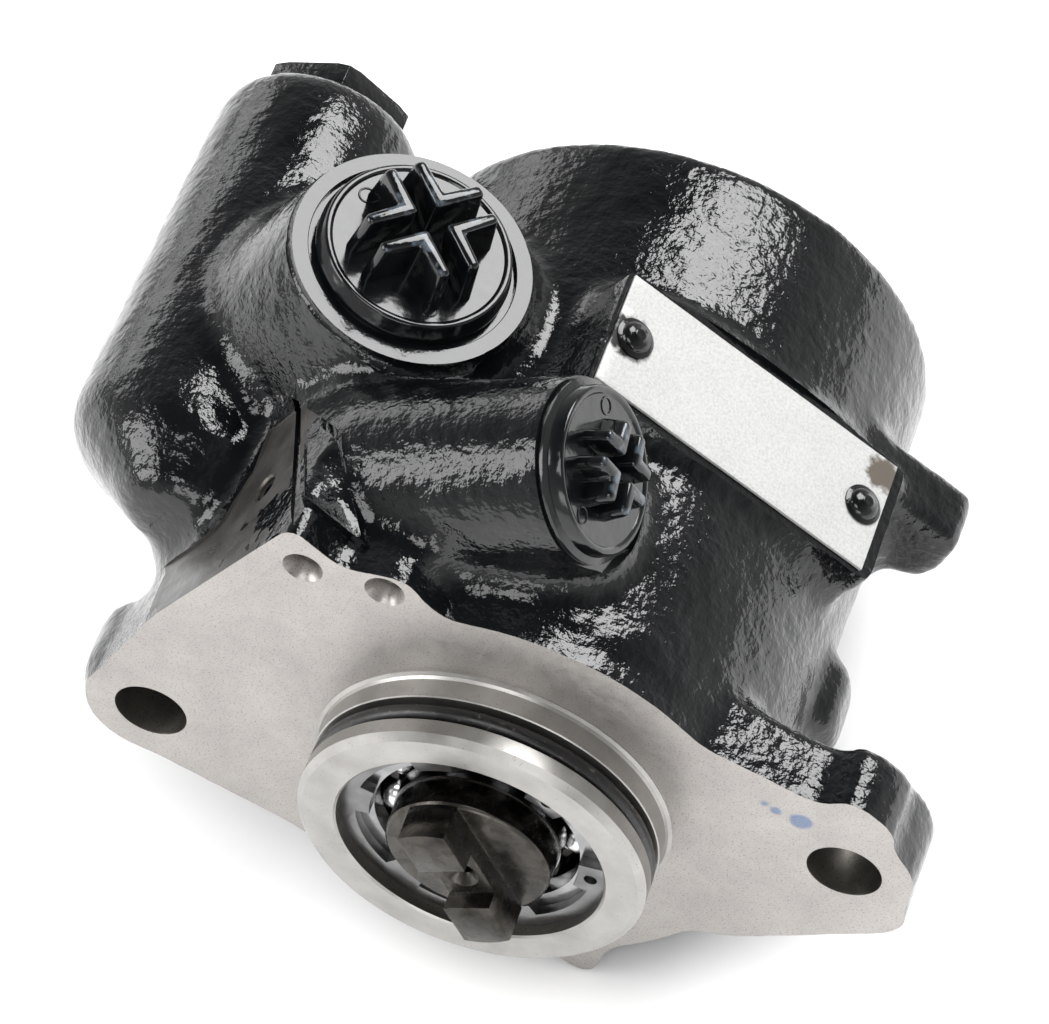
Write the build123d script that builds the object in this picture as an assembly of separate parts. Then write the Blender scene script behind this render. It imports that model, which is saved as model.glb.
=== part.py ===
from build123d import *
import os
from math import atan2, cos, radians, sin, sqrt, tan

# A flange-mounted vane pump for power steering.
# Frame, in millimetres: the origin is where the drive axis meets the machined mounting face.
# +X runs along the line of the two flange bolts, +Y runs back along the pump, +Z is up.
# The drive end is at negative Y. Outlines drawn on the face are given as (x, z).

# Mounting flange
bolt_spacing = 130.0
bolt_hole_d = 13.5
ear_r = 12.4
ear_depth = 15.0
flange_disc_r = 48.2
flange_depth = 13.0
flange_low_r = 46.6
edge_flare_left = 1.8
edge_flare_right = 0.6
edge_flare_depth = 4.0

# Pilot spigot
pilot_r = 32.5
pilot_len = 14.0
pilot_chamfer = 1.3
pilot_groove_front = 9.7
pilot_groove_w = 4.8
pilot_groove_depth = 3.6
pilot_ring_d = 3.5

# Barrel
barrel_r_front = 48.8
barrel_r_rear = 50.2
barrel_end = 113.0
barrel_edge_r = 1.5
barrel_front = 4.0
barrel_wall = 10.2
barrel_edge_band = 10.0
front_wall = 19.6

# Drive bearing and its retaining ring
bearing_od = 50.0
bearing_bore_d = 22.0
bearing_w = 14.0
bearing_front = -9.2
bearing_edge = 0.8
ball_d = 8.0
ball_count = 9
ball_pitch_r = 17.4
ball_phase = -11.0
ball_gap = 0.05
race_lip = 2.2
cage_t = 1.4
cage_w = 10.6
keeper_t = 2.0
keeper_radial = 4.3
keeper_groove = 1.5
keeper_lug_r = 19.5
keeper_lug_half = 10.0
keeper_lug_count = 6
keeper_gap_middle = 18.8
keeper_hole_r = 1.25

# Drive shaft
head_r = 15.35
head_front = -15.3
head_chamfer = 0.6
tang_w = 9.4
tang_tip = 7.2
tang_mid = 3.6
tang_mid_half = 5.3
tang_angle = -68.2
centre_hole_r = 1.7
centre_hole_depth = 4.0
bush_journal_r = 10.5
spline_core_r = 8.0
spline_tip_r = 9.4
spline_w = 4.0
spline_teeth = 6
spline_gap = 0.05
rear_journal_r = 7.5
run_gap = 0.03
shaft_clip_t = 1.2
shaft_clip_wall = 2.6
shaft_clip_groove = 0.7

# Shaft seal and front bush
seal_od = 35.0
seal_w = 7.0
seal_gap = 2.6
seal_wall = 1.0
seal_relief = 1.5
seal_lip_t = 3.0
seal_lip_slope = 2.0
garter_wire = 1.2
bush_wall = 2.5
bush_setback = 2.0

# Pumping set
front_plate_t = 10.0
rear_plate_t = 12.0
cam_w = 22.0
set_slack = 0.1
plate_bore_gap = 0.5
cam_wall = 9.0
cam_lift = 3.5
cam_turn = 8.0
rotor_gap = 0.5
side_gap = 0.03
vane_count = 10
vane_t = 1.8
vane_h = 9.0
vane_gap = 0.03
slot_root_r = 1.4
kidney_w = 4.5
kidney_span = 38.0
kidney_inset = 3.0
pin_r = 2.0
pin_inset = 5.2
pin_end = 3.0
plate_seal_d = 2.6
plate_spring_h = 8.0
plate_spring_t = 1.6
plate_spring_in = 20.0
plate_spring_inset = 7.0

# Rear closing cover
cover_t = 16.0
cover_dish_in = 17.0
cover_dish_inset = 7.0
cover_dish_depth = 5.0
cover_seal_d = 3.0
cover_keeper_t = 2.2
cover_keeper_radial = 4.5
cover_keeper_groove = 2.0
cover_keeper_gap = 24.0
rear_bush_len = 11.0

# Valve body, cast on the left of the barrel
valve_x = -69.8
valve_z = 26.5
valve_front = 36.5
# The nose narrows towards the front and leans along the flange's upper left side: (y, radius, lean)
valve_nose = ((36.5, 21.8, 0.0), (33.0, 19.6, 2.6), (29.0, 17.0, 5.0), (24.0, 13.0, 6.5), (20.0, 10.2, 8.4),
              (17.7, 4.5, 8.0))
valve_end = 118.3
valve_r_front = 21.8
valve_r_rear = 20.2
valve_edge_r = 4.5
valve_bore_r = 9.0
valve_bore_front = 28.0
valve_thread_r = 11.0
valve_thread_len = 13.0
valve_web = 16.0

# Hexagon plug that closes the valve bore
hex_flats = 27.0
hex_h = 6.2
hex_chamfer = 1.2
hex_turn = 74.4
nose_r = 5.2
nose_len = 8.0
plug_seal_d = 1.9

# Flow-control spool, its spring and its relief valve
spool_len = 30.0
spool_nub = 4.8
spool_nub_r = 4.0
spool_gap = 0.02
land_w = 8.0
land_gap_w = 10.0
land_groove = 1.6
stop_gap = 0.2
spring_wire = 1.4
spring_mean_r = 6.6
spring_turns = 9.0
relief_bore_r = 4.2
relief_ball_r = 2.6
relief_wall = 7.0
relief_wire = 0.7
relief_mean_r = 2.0
relief_turns = 6.0
relief_plug_len = 5.0
relief_hole_r = 1.2

# Suction port on top; the offset is the axis's distance from the drive axis
inlet_angle = 69.7
inlet_y = 65.0
inlet_reach = 47.4
inlet_offset = 52.1
inlet_face_r = 22.3
inlet_rim_r = 19.2
inlet_bore_r = 11.0
inlet_bore_len = 42.0
inlet_root_r = 31.0
inlet_root_shift = 4.5

# Delivery port across the front; its axis crosses the valve bore
outlet_angle = 24.0
outlet_y = 26.7
outlet_reach = 36.0
outlet_face_r = 16.8
outlet_rim_r = 15.3
outlet_bore_r = 8.3
outlet_bore_len = 30.0
outlet_belly_r = 18.2
outlet_belly_at = 54.0
outlet_tail_r = 14.2
outlet_tail_gap = 6.0
outlet_passage_gap = 7.5

# Transit plugs
rim_depth = 1.0
gasket_t = 0.8
plug_proud = 4.2
plug_slack = 0.08
plug_stem_len = 12.0
plug_stem_wall = 1.8
plug_edge = 0.5
inlet_plug_r = 17.8
outlet_plug_r = 14.3
grip_h = 9.0
grip_arm = 10.0
grip_t = 1.9
grip_slot = 3.7
inlet_grip_turn = 45.0
outlet_grip_turn = 12.0
small_grip = 0.8
small_grip_h = 4.6

# Drilled passages closed by balls, and the small screw plug in the flange's side
ball_plug_r = 2.6
ball_plug_sink = 1.2
countersink_r = 3.7
countersink_depth = 1.4
ball_seat_lift = 1.21
gallery_r = 2.2
left_gallery = (-31.6, 53.9)
left_gallery_len = 62.0
right_gallery = (-16.8, 52.3)
right_gallery_len = 26.0
gallery_screw_x = -45.0
gallery_screw_y = 17.8
gallery_screw_r = 2.4
gallery_screw_len = 5.0
gallery_screw_sink = 0.8
gallery_screw_hex = 2.4
gallery_screw_drill = 14.0
passage_r = 5.0
bypass_start_y = 62.0
bypass_y = 46.0
delivery_drill_r = 3.0
front_pocket_in = 17.0
front_pocket_inset = 10.0
front_pocket_depth = 2.5
suction_groove_depth = 3.0
suction_groove_w = 14.0

# Name plate on its cast pad, with two domed rivets
plate_len = 61.8
plate_w = 24.3
plate_t = 0.8
plate_angle = 51.3
plate_y = 62.3
plate_shift = -1.36
pad_height = 49.2
pad_margin = 1.2
pad_extra = 1.4
pad_root = 30.0
rivet_spacing = 53.3
rivet_r = 3.9
rivet_dome = 2.1
rivet_shank_r = 1.6
rivet_len = 6.0
rivet_rim = 0.5

# Cast lugs on the right of the barrel
lug_front = 73.0
lug_back = 85.5
small_lug_out = 54.4
small_lug_front = 30.0
small_lug_back = 47.0
small_lug_drop = 15.0
small_lug_edge = 4.0
lug_root = 42.0

# Stations along the drive axis
bearing_rear = bearing_front + bearing_w
seal_front = bearing_rear + seal_gap
seal_rear = seal_front + seal_w
chamber_front = seal_rear + front_wall
bush_front = seal_rear + bush_setback
cam_front = chamber_front + front_plate_t
cam_rear = cam_front + cam_w
plates_rear = cam_rear + rear_plate_t
cover_front = plates_rear + plate_spring_h
cover_rear = cover_front + cover_t

# Derived radii
chamber_r = barrel_r_rear - barrel_wall
cam_major = chamber_r - cam_wall
cam_minor = cam_major - cam_lift
rotor_r = cam_minor - rotor_gap
kidney_r = rotor_r - kidney_inset
pin_pitch_r = chamber_r - pin_inset
bearing_r = bearing_od / 2
shaft_r = bearing_bore_d / 2
ball_r = ball_d / 2
bolt_x = bolt_spacing / 2
set_r = chamber_r - set_slack
front_bush_r = bush_journal_r + run_gap + bush_wall
rear_bush_r = rear_journal_r + run_gap + bush_wall

# Stations along the valve bore
spool_front = valve_bore_front + stop_gap + spool_nub
spool_rear = spool_front + spool_len
thread_front = valve_end - valve_thread_len

made = {}


def keep(name, *solids):
    """Keeps a named piece; several solids stay separate inside one node."""
    made[name] = solids[0] if len(solids) == 1 else Compound(children=list(solids))


def disc(r, y0, y1, x=0.0, z=0.0):
    """A round bar along Y."""
    return Pos(x, (y0 + y1) / 2, z) * Rot(90, 0, 0) * Cylinder(r, abs(y1 - y0))


def tube(r_out, r_in, y0, y1, x=0.0, z=0.0):
    """A plain ring along Y."""
    return disc(r_out, y0, y1, x, z) - disc(r_in, y0 - 1, y1 + 1, x, z)


def turned(points, x=0.0, z=0.0):
    """A solid turned about a line along Y from (radius, y) points."""
    profile = make_face(Polyline(*points, close=True))
    return Pos(x, 0, z) * revolve(profile, Axis.Y)


def rounded_rear(solid, r):
    """Rounds the rearmost round edge of a turned solid."""
    return fillet(solid.edges().filter_by(GeomType.CIRCLE).sort_by(Axis.Y)[-1], r)


def o_ring(mean_r, section_d, y, x=0.0, z=0.0):
    """A round-section ring about a line along Y."""
    return Pos(x, y, z) * Rot(90, 0, 0) * Torus(mean_r, section_d / 2)


def slab(outline, y0, y1):
    """Pushes an outline drawn in X and Z from y0 back to y1."""
    front = Plane(origin=(0, y0, 0), x_dir=(1, 0, 0), z_dir=(0, -1, 0))
    return extrude(front * outline, amount=y0 - y1)


def polygon(*points):
    """A flat face with straight edges through the points."""
    return make_face(Polyline(*points, close=True))


def wedge(middle, half, r, y0, y1):
    """A pie slice about the drive axis, from middle - half to middle + half degrees."""
    a0 = radians(middle - half)
    a1 = radians(middle + half)
    far = r / cos(radians(half))
    return slab(polygon((0, 0), (far * cos(a0), far * sin(a0)), (far * cos(a1), far * sin(a1))), y0, y1)


def about_drive(angle, solid):
    """Turns a solid by angle degrees in the X-Z plane, from +X towards +Z."""
    return Rot(0, -angle, 0) * solid


def drill(r, start, end):
    """A round hole from one point to another."""
    run = Vector(*end) - Vector(*start)
    return Plane(origin=start, z_dir=run) * Pos(0, 0, run.length / 2) * Cylinder(r, run.length)


def port_frame(angle, y, reach, offset):
    """The plane of a port's face: its normal leans angle degrees up from +X."""
    out = Vector(cos(radians(angle)), 0, sin(radians(angle)))
    side = Vector(-sin(radians(angle)), 0, cos(radians(angle)))
    return Plane(origin=out * reach + side * offset + Vector(0, y, 0), x_dir=(0, -1, 0), z_dir=out)


def bar(frame, r, low, high):
    """A round bar along a port's axis between two heights over its face."""
    return frame * Pos(0, 0, (low + high) / 2) * Cylinder(r, high - low)


def coil(wire, mean_r, turns, y0, y1, x, z):
    """A helical compression spring along Y that fills y0 to y1."""
    rise = y1 - y0 - wire
    path = Helix(pitch=rise / turns, height=rise, radius=mean_r)
    section = Plane(origin=path @ 0, z_dir=path % 0) * Circle(wire / 2)
    return Pos(x, y0 + wire / 2, z) * Rot(-90, 0, 0) * sweep(section, path=path, is_frenet=True)


outlet_offset = valve_z * cos(radians(outlet_angle)) - valve_x * sin(radians(outlet_angle))
inlet = port_frame(inlet_angle, inlet_y, inlet_reach, inlet_offset)
outlet = port_frame(outlet_angle, outlet_y, outlet_reach, outlet_offset)
outlet_depth = outlet_reach - valve_x * cos(radians(outlet_angle)) - valve_z * sin(radians(outlet_angle))

# The pad's plane: its normal leans plate_angle degrees up from +X, its long side lies around the barrel
pad_out = Vector(cos(radians(plate_angle)), 0, sin(radians(plate_angle)))
pad_along = Vector(sin(radians(plate_angle)), 0, -cos(radians(plate_angle)))
pad = Plane(origin=pad_out * pad_height + pad_along * plate_shift + Vector(0, plate_y, 0), x_dir=pad_along,
            z_dir=pad_out)

# The flange's upper left side is one plane; it runs back and cuts the delivery boss flat. Right of a ridge that
# falls towards the rear, a second plane trims the boss; it goes through the ridge and one point on the boss.
ridge_front = (-33.4, 1.0, 64.4)
ridge_rear = (-47.2, 41.4, 47.3)
boss_high = (-31.8, 24.2, 62.7)
side_low = (-64.0, 26.6)
side_high = (-34.5, 63.0)
side_slope = atan2(side_high[1] - side_low[1], side_high[0] - side_low[0])
side_out = Vector(-sin(side_slope), 0, cos(side_slope))


def on_side(x, y):
    """A point on the flange's upper left side."""
    return Vector(x, y, side_low[1] + (x - side_low[0]) * tan(side_slope))


side_screw = Plane(origin=on_side(gallery_screw_x, gallery_screw_y), x_dir=(0, -1, 0), z_dir=side_out)


def flange_outline():
    """The machined face's outline: a round middle, two ears and the gallery corner."""
    ears = Pos(bolt_x, 0) * Circle(ear_r) + Pos(-bolt_x, 0) * Circle(ear_r)
    left = polygon((-72.2, 12.6), (-56.0, 37.8), (-54.2, 40.0), (-53.0, 40.3), side_high, (-33.0, 63.9),
                   (-31.4, 63.2), (-25.6, 57.2), (-23.4, 56.3), (-17.4, 56.7), (-13.2, 56.6), (-11.4, 55.3),
                   (-9.6, 51.0), (-5.2, 47.9), (0, 0), (-38.5, -26.6), (-71.0, -10.4))
    right = polygon((38.8, 28.4), (61.0, 18.2), (62.4, 18.6), (64.2, 20.9), (66.8, 20.9), (70.4, 18.9),
                    (73.1, 15.8), (74.3, 13.2), (73.6, 10.6), (76.0, 5.6), (76.2, -11.0), (75.4, -13.4),
                    (72.6, -16.2), (45.4, -28.3), (41.2, -29.5), (36.2, -29.4), (26.0, -36.0), (0, 0))
    nub = polygon((5.0, -46.0), (10.5, -49.4), (14.6, -52.2), (17.2, -50.4), (21.0, -40.0))
    high = Circle(flange_disc_r) & Pos(0, flange_disc_r) * Rectangle(2 * flange_disc_r, 2 * flange_disc_r)
    return Circle(flange_low_r) + high + ears + left + right + nub


def casting():
    """The iron casting before its bores and faces are machined."""
    # delivery boss, its neck and the block under it, cut flat by the flange's side
    tail = outlet_depth - outlet_tail_gap
    boss = [(0, 0), (outlet_face_r, 0), (outlet_belly_r, -outlet_belly_at), (outlet_tail_r, -tail), (0, -tail)]
    flat = Plane(origin=outlet.origin, x_dir=(0, -1, 0), z_dir=outlet.x_dir.cross(outlet.z_dir))
    body = revolve(flat * polygon(*boss), Axis(outlet.origin, outlet.z_dir))
    body += outlet * Pos(0, 0, -tail) * Sphere(outlet_tail_r)
    body += slab(polygon(side_low, side_high, (-26.0, 56.0), (-18.0, 40.0), (-45.0, 5.0), (-58.0, 2.0),
                         (-66.0, 16.0)), 1, outlet_y + outlet_face_r / 2)
    above = flange_disc_r
    panel_out = (Vector(*boss_high) - Vector(*ridge_front)).cross(Vector(*ridge_rear) - Vector(*ridge_front))
    for foot, out in ((on_side(gallery_screw_x, 0), side_out), (Vector(*ridge_front), panel_out)):
        body -= Plane(origin=foot, z_dir=out) * Pos(0, 0, above / 2) * Box(4 * above, 4 * above, above)
    body += slab(flange_outline(), 0, flange_depth)
    # ears, with the edge of the casting standing past the machined face
    for x, flare in ((-bolt_x, edge_flare_left), (bolt_x, edge_flare_right)):
        body += disc(ear_r, 0, ear_depth, x)
        body += turned([(0, 0), (ear_r, 0), (ear_r + flare, edge_flare_depth), (ear_r + flare, ear_depth),
                        (0, ear_depth)], x)
    body += rounded_rear(turned([(0, barrel_front), (barrel_r_front, barrel_front), (barrel_r_rear, barrel_end - barrel_edge_band),
                                 (barrel_r_rear, barrel_end), (0, barrel_end)]), barrel_edge_r)
    # valve body with its round nose, and the web that joins it to the barrel
    body += rounded_rear(turned([(0, valve_front), (valve_r_front, valve_front), (valve_r_rear, valve_end),
                                 (0, valve_end)], valve_x, valve_z), valve_edge_r)
    rings = []
    for y, r, lean in valve_nose:
        middle = (valve_x + lean * cos(side_slope), y, valve_z + lean * sin(side_slope))
        rings.append(Plane(origin=middle, x_dir=(1, 0, 0), z_dir=(0, -1, 0)) * Circle(r))
    body += loft(rings, ruled=True)
    web = polygon((valve_x, valve_z + valve_web), (0, barrel_r_front - valve_web), (0, -valve_web),
                  (valve_x, valve_z - valve_web))
    body += slab(web, valve_front, barrel_end - 2 * valve_web)
    # suction boss
    body += loft([inlet * Pos(0, -inlet_root_shift, -inlet_bore_len) * Circle(inlet_root_r),
                  inlet * Circle(inlet_face_r)])
    # name plate pad
    pad_depth = pad_height - pad_root
    pad_len = plate_len + 2 * pad_margin + pad_extra
    pad_w = plate_w + 2 * pad_margin
    body += pad * Pos(pad_extra / 2, 0, -pad_depth / 2) * Box(pad_len, pad_w, pad_depth)
    body -= pad * Pos(pad_extra / 2, 0, pad_margin) * Box(pad_len, pad_w, 2 * pad_margin)
    # lugs
    body += slab(polygon((lug_root, 21.9), (65.0, 3.7), (66.2, 1.5), (61.9, -7.0), (58.3, -10.2), (52.0, -9.4),
                         (lug_root, -12.0)), lug_front, lug_back)
    span = small_lug_back - small_lug_front
    reach = small_lug_out - lug_root
    block = Pos(lug_root + reach / 2, small_lug_front + span / 2, -small_lug_drop / 2) * Box(reach, span,
                                                                                            small_lug_drop)
    outer = block.faces().sort_by(Axis.X)[-1]
    body += chamfer(outer.edges(), small_lug_edge)
    return body


def ball_bore(place, length):
    """A drilled passage from the face, with a countersink and a seat for its ball."""
    x, z = place
    seat = countersink_depth + ball_plug_sink + 2 * ball_plug_r - ball_seat_lift
    hole = disc(gallery_r, 0, length, x, z)
    hole += disc(ball_plug_r, 0, seat, x, z)
    hole += turned([(0, -1), (countersink_r, -1), (countersink_r, 0), (ball_plug_r, countersink_depth),
                    (0, countersink_depth)], x, z)
    return hole


def make_housing():
    body = casting()
    # spigot with its ring groove
    body += turned([(0, -pilot_len), (pilot_r - pilot_chamfer, -pilot_len), (pilot_r, -pilot_len + pilot_chamfer),
                    (pilot_r, 0), (0, 0)])
    groove_rear = -pilot_groove_front + pilot_groove_w
    body -= tube(pilot_r + 1, pilot_r - pilot_groove_depth, -pilot_groove_front, groove_rear)
    # drive end bores, front to rear
    body -= disc(bearing_r, -pilot_len - 1, bearing_rear)
    body -= disc(bearing_r + keeper_groove, bearing_front - keeper_t, bearing_front)
    body -= disc(seal_od / 2 + seal_relief, bearing_rear - 1, seal_front)
    body -= disc(seal_od / 2, bearing_rear, seal_rear)
    body -= disc(front_bush_r, seal_rear - 1, chamber_front + 1)
    for pin in pins():
        body -= pin
    body -= tube((chamber_r - front_pocket_inset), front_pocket_in, chamber_front - front_pocket_depth, chamber_front + 1)
    # pumping chamber, the suction groove around it and the groove of the cover's keeper ring
    body -= disc(chamber_r, chamber_front, barrel_end + 1)
    body -= disc(chamber_r + cover_keeper_groove, cover_rear, cover_rear + cover_keeper_t)
    middle = (cam_front + cam_rear) / 2
    body -= disc((chamber_r + suction_groove_depth), middle, middle + suction_groove_w)
    # bolt holes and the clearance for the bolt heads behind the ears
    for x in (-bolt_x, bolt_x):
        body -= disc(bolt_hole_d / 2, -1, ear_depth + 12, x)
        body -= disc(bolt_hole_d / 2 + 5.5, ear_depth, ear_depth + 12, x)
    # valve bore, its thread and the seat of the plug's seal
    body -= disc(valve_bore_r, valve_bore_front, valve_end, valve_x, valve_z)
    body -= disc(valve_thread_r, thread_front, valve_end + 1, valve_x, valve_z)
    body -= disc(valve_thread_r + plug_seal_d, valve_end - plug_seal_d, valve_end + 1, valve_x, valve_z)
    # ports
    for port, face_r, rim_r, bore_r, length in (
            (inlet, inlet_face_r, inlet_rim_r, inlet_bore_r, inlet_bore_len),
            (outlet, outlet_face_r, outlet_rim_r, outlet_bore_r, outlet_bore_len)):
        body -= bar(port, face_r, 0, 10)
        body -= bar(port, rim_r, -rim_depth, 1)
        body -= bar(port, bore_r, -length, 1)
    body -= bar(outlet, passage_r, outlet_passage_gap - outlet_depth, 1)
    # bypass from the valve bore to the suction bore, delivery drilling from the chamber's front pocket
    bottom = inlet.from_local_coords(Vector(0, 0, passage_r - inlet_bore_len))
    body -= drill(passage_r, (bottom.X, bypass_start_y, bottom.Z), (valve_x, bypass_y, valve_z))
    feed = Vector(-sin(radians(outlet_angle)), 0, cos(radians(outlet_angle)))
    start = feed * outlet_offset
    stop = feed * ((chamber_r - front_pocket_inset) - delivery_drill_r)
    body -= drill(delivery_drill_r, (start.X, outlet_y, start.Z), (stop.X, chamber_front - delivery_drill_r, stop.Z))
    for place, length in ((left_gallery, left_gallery_len), (right_gallery, right_gallery_len)):
        body -= ball_bore(place, length)
    body -= bar(side_screw, gallery_screw_r, -gallery_screw_drill, 4)
    # rivet holes
    for s in (-1, 1):
        body -= pad * Pos(s * rivet_spacing / 2, 0, -rivet_len / 2) * Cylinder(rivet_shank_r, rivet_len)
    return body


def port_plate(slot_depth, discharge_depth, thickness, bore_r, face, far, suction_out):
    """A round port plate with two suction and two delivery kidneys between its face and far side."""
    plate = tube(set_r, bore_r, min(face, far), max(face, far))
    step = 1 if far > face else -1
    for turn in (0, 180):
        band = tube(kidney_r + kidney_w / 2, kidney_r - kidney_w / 2, face - step, face + step * discharge_depth)
        plate -= band & wedge(cam_turn + 135 + turn, kidney_span / 2, 2 * chamber_r, face - step * 2,
                              face + step * (thickness + 2))
        band = tube(suction_out, kidney_r - kidney_w / 2, face - step, face + step * slot_depth)
        plate -= band & wedge(cam_turn + 45 + turn, kidney_span / 2, 2 * chamber_r, face - step * 2,
                              face + step * (slot_depth + 2))
    return plate


def rim_groove(y, d):
    """The groove for a ring of section d in the rim of a disc that fills the chamber."""
    return tube(chamber_r + 1, chamber_r - d, y - 0.6 * d, y + 0.6 * d)


def pins():
    """The two pins beside the cam's short axis."""
    y0 = chamber_front - pin_end
    y1 = cam_rear + rear_plate_t / 2
    for turn in (90, 270):
        a = radians(cam_turn + turn)
        yield disc(pin_r, y0, y1, pin_pitch_r * cos(a), pin_pitch_r * sin(a))


def make_bearing():
    middle = bearing_front + bearing_w / 2
    track = o_ring(ball_pitch_r, ball_d + 2 * ball_gap, middle)
    outer_in = ball_pitch_r + ball_r - race_lip
    inner_out = ball_pitch_r - ball_r + race_lip
    outer = tube(bearing_r, outer_in, bearing_front, bearing_rear) - track
    inner = tube(inner_out, shaft_r, bearing_front, bearing_rear) - track
    outer = chamfer(outer.edges().filter_by(GeomType.CIRCLE).filter_by(lambda e: e.radius > bearing_r - 0.01),
                    bearing_edge)
    balls = []
    pockets = []
    for i in range(ball_count):
        a = radians(ball_phase + 360 * i / ball_count)
        place = Pos(ball_pitch_r * cos(a), middle, ball_pitch_r * sin(a))
        balls.append(place * Sphere(ball_r))
        pockets.append(place * Sphere(ball_r + ball_gap))
    cage = tube(ball_pitch_r + cage_t / 2, ball_pitch_r - cage_t / 2, middle - cage_w / 2, middle + cage_w / 2)
    for pocket in pockets:
        cage -= pocket
    keep("bearing_outer_ring", outer)
    keep("bearing_inner_ring", inner)
    keep("bearing_balls", *balls)
    keep("bearing_cage", cage)


def make_keeper():
    """The lugged retaining ring in front of the bearing."""
    y0 = bearing_front - keeper_t
    r_out = bearing_r + keeper_groove
    ring = tube(r_out, r_out - keeper_radial, y0, bearing_front)
    lugs = tube(r_out - 1, keeper_lug_r, y0, bearing_front)
    gap = 2 * (keeper_gap_middle - ball_phase)
    step = (360 - gap) / (keeper_lug_count - 1)
    for i in range(keeper_lug_count):
        middle = keeper_gap_middle + gap / 2 + i * step
        ring += lugs & wedge(middle, keeper_lug_half, r_out, y0 - 1, bearing_front + 1)
    ring -= wedge(keeper_gap_middle, gap / 2 - keeper_lug_half, 2 * r_out, y0 - 1, bearing_front + 1)
    hole_at = (keeper_lug_r + r_out - keeper_radial / 2) / 2
    for s in (-1, 1):
        a = radians(keeper_gap_middle + s * gap / 2)
        ring -= disc(keeper_hole_r, y0 - 1, bearing_front + 1, hole_at * cos(a), hole_at * sin(a))
    keep("bearing_retaining_ring", ring)


def make_shaft():
    shaft = turned([(0, head_front), (head_r - head_chamfer, head_front), (head_r, head_front + head_chamfer),
                    (head_r, bearing_front), (shaft_r, bearing_front), (shaft_r, seal_rear + bush_setback / 2),
                    (bush_journal_r, seal_rear + bush_setback / 2), (bush_journal_r, chamber_front - head_chamfer),
                    (spline_tip_r, chamber_front - head_chamfer), (spline_tip_r, cam_rear),
                    (rear_journal_r, cam_rear), (rear_journal_r, cover_front + rear_bush_len - head_chamfer),
                    (rear_journal_r - head_chamfer, cover_front + rear_bush_len), (0, cover_front + rear_bush_len)])
    # drive dogs: a low bar across the end with a taller block at each end of it
    along = 2 * head_r
    dogs = Box(along, tang_tip, tang_w) - Pos(0, -tang_tip / 2 + (tang_tip - tang_mid) / 2, 0) * Box(
        2 * tang_mid_half, tang_tip - tang_mid, tang_w)
    dogs = about_drive(tang_angle, Pos(0, head_front - tang_tip / 2, 0) * dogs)
    shaft += dogs & disc(head_r, head_front - tang_tip, head_front)
    front = head_front - tang_mid
    shaft -= disc(centre_hole_r, front - 1, front + centre_hole_depth)
    shaft -= turned([(0, front - 1), (2 * centre_hole_r, front - 1), (2 * centre_hole_r, front),
                     (centre_hole_r, front + centre_hole_r), (0, front + centre_hole_r)])
    # groove of the circlip behind the bearing
    shaft -= tube(shaft_r + 1, shaft_r - shaft_clip_groove, bearing_rear, bearing_rear + shaft_clip_t)
    # splines
    shaft -= tube(2 * spline_tip_r, spline_core_r, cam_front, cam_rear) - spline_bars(spline_w, cam_front, cam_rear)
    keep("drive_shaft", shaft)
    clip = tube(shaft_r - shaft_clip_groove + shaft_clip_wall, shaft_r - shaft_clip_groove, bearing_rear,
                bearing_rear + shaft_clip_t)
    clip -= wedge(keeper_gap_middle, 2 * keeper_lug_half, shaft_r + shaft_clip_wall, bearing_rear - 1, seal_front)
    keep("shaft_circlip", clip)


def spline_bars(width, y0, y1):
    """Bars across the drive axis that become the spline's teeth."""
    bars = Box(4 * spline_tip_r, y1 - y0, width)
    for i in range(1, spline_teeth // 2):
        bars += about_drive(360 * i / spline_teeth, Box(4 * spline_tip_r, y1 - y0, width))
    return Pos(0, (y0 + y1) / 2, 0) * bars


def make_front_seals():
    case = tube(seal_od / 2, seal_od / 2 - seal_wall, seal_front, seal_rear)
    case += tube(seal_od / 2 - seal_wall / 2, shaft_r + seal_lip_slope, seal_rear - seal_wall, seal_rear)
    keep("shaft_seal_case", case)
    inner = shaft_r + run_gap
    outer = seal_od / 2 - seal_wall
    web = seal_rear - seal_wall
    lip_out = inner + seal_lip_t
    lip = turned([(outer, web), (inner + seal_lip_slope, web), (inner, seal_front + garter_wire), (inner, seal_front),
                  (lip_out, seal_front), (lip_out, web - seal_wall), (outer, web - seal_wall)])
    garter = o_ring(lip_out + garter_wire / 4, garter_wire, seal_front + garter_wire)
    keep("shaft_seal_lip", lip - garter)
    keep("seal_garter_spring", garter)
    keep("front_bush", tube(front_bush_r, bush_journal_r + run_gap, bush_front, chamber_front))
    keep("pilot_o_ring", o_ring(pilot_r - pilot_groove_depth + pilot_ring_d / 2, pilot_ring_d,
                                -pilot_groove_front + pilot_groove_w / 2))


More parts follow.
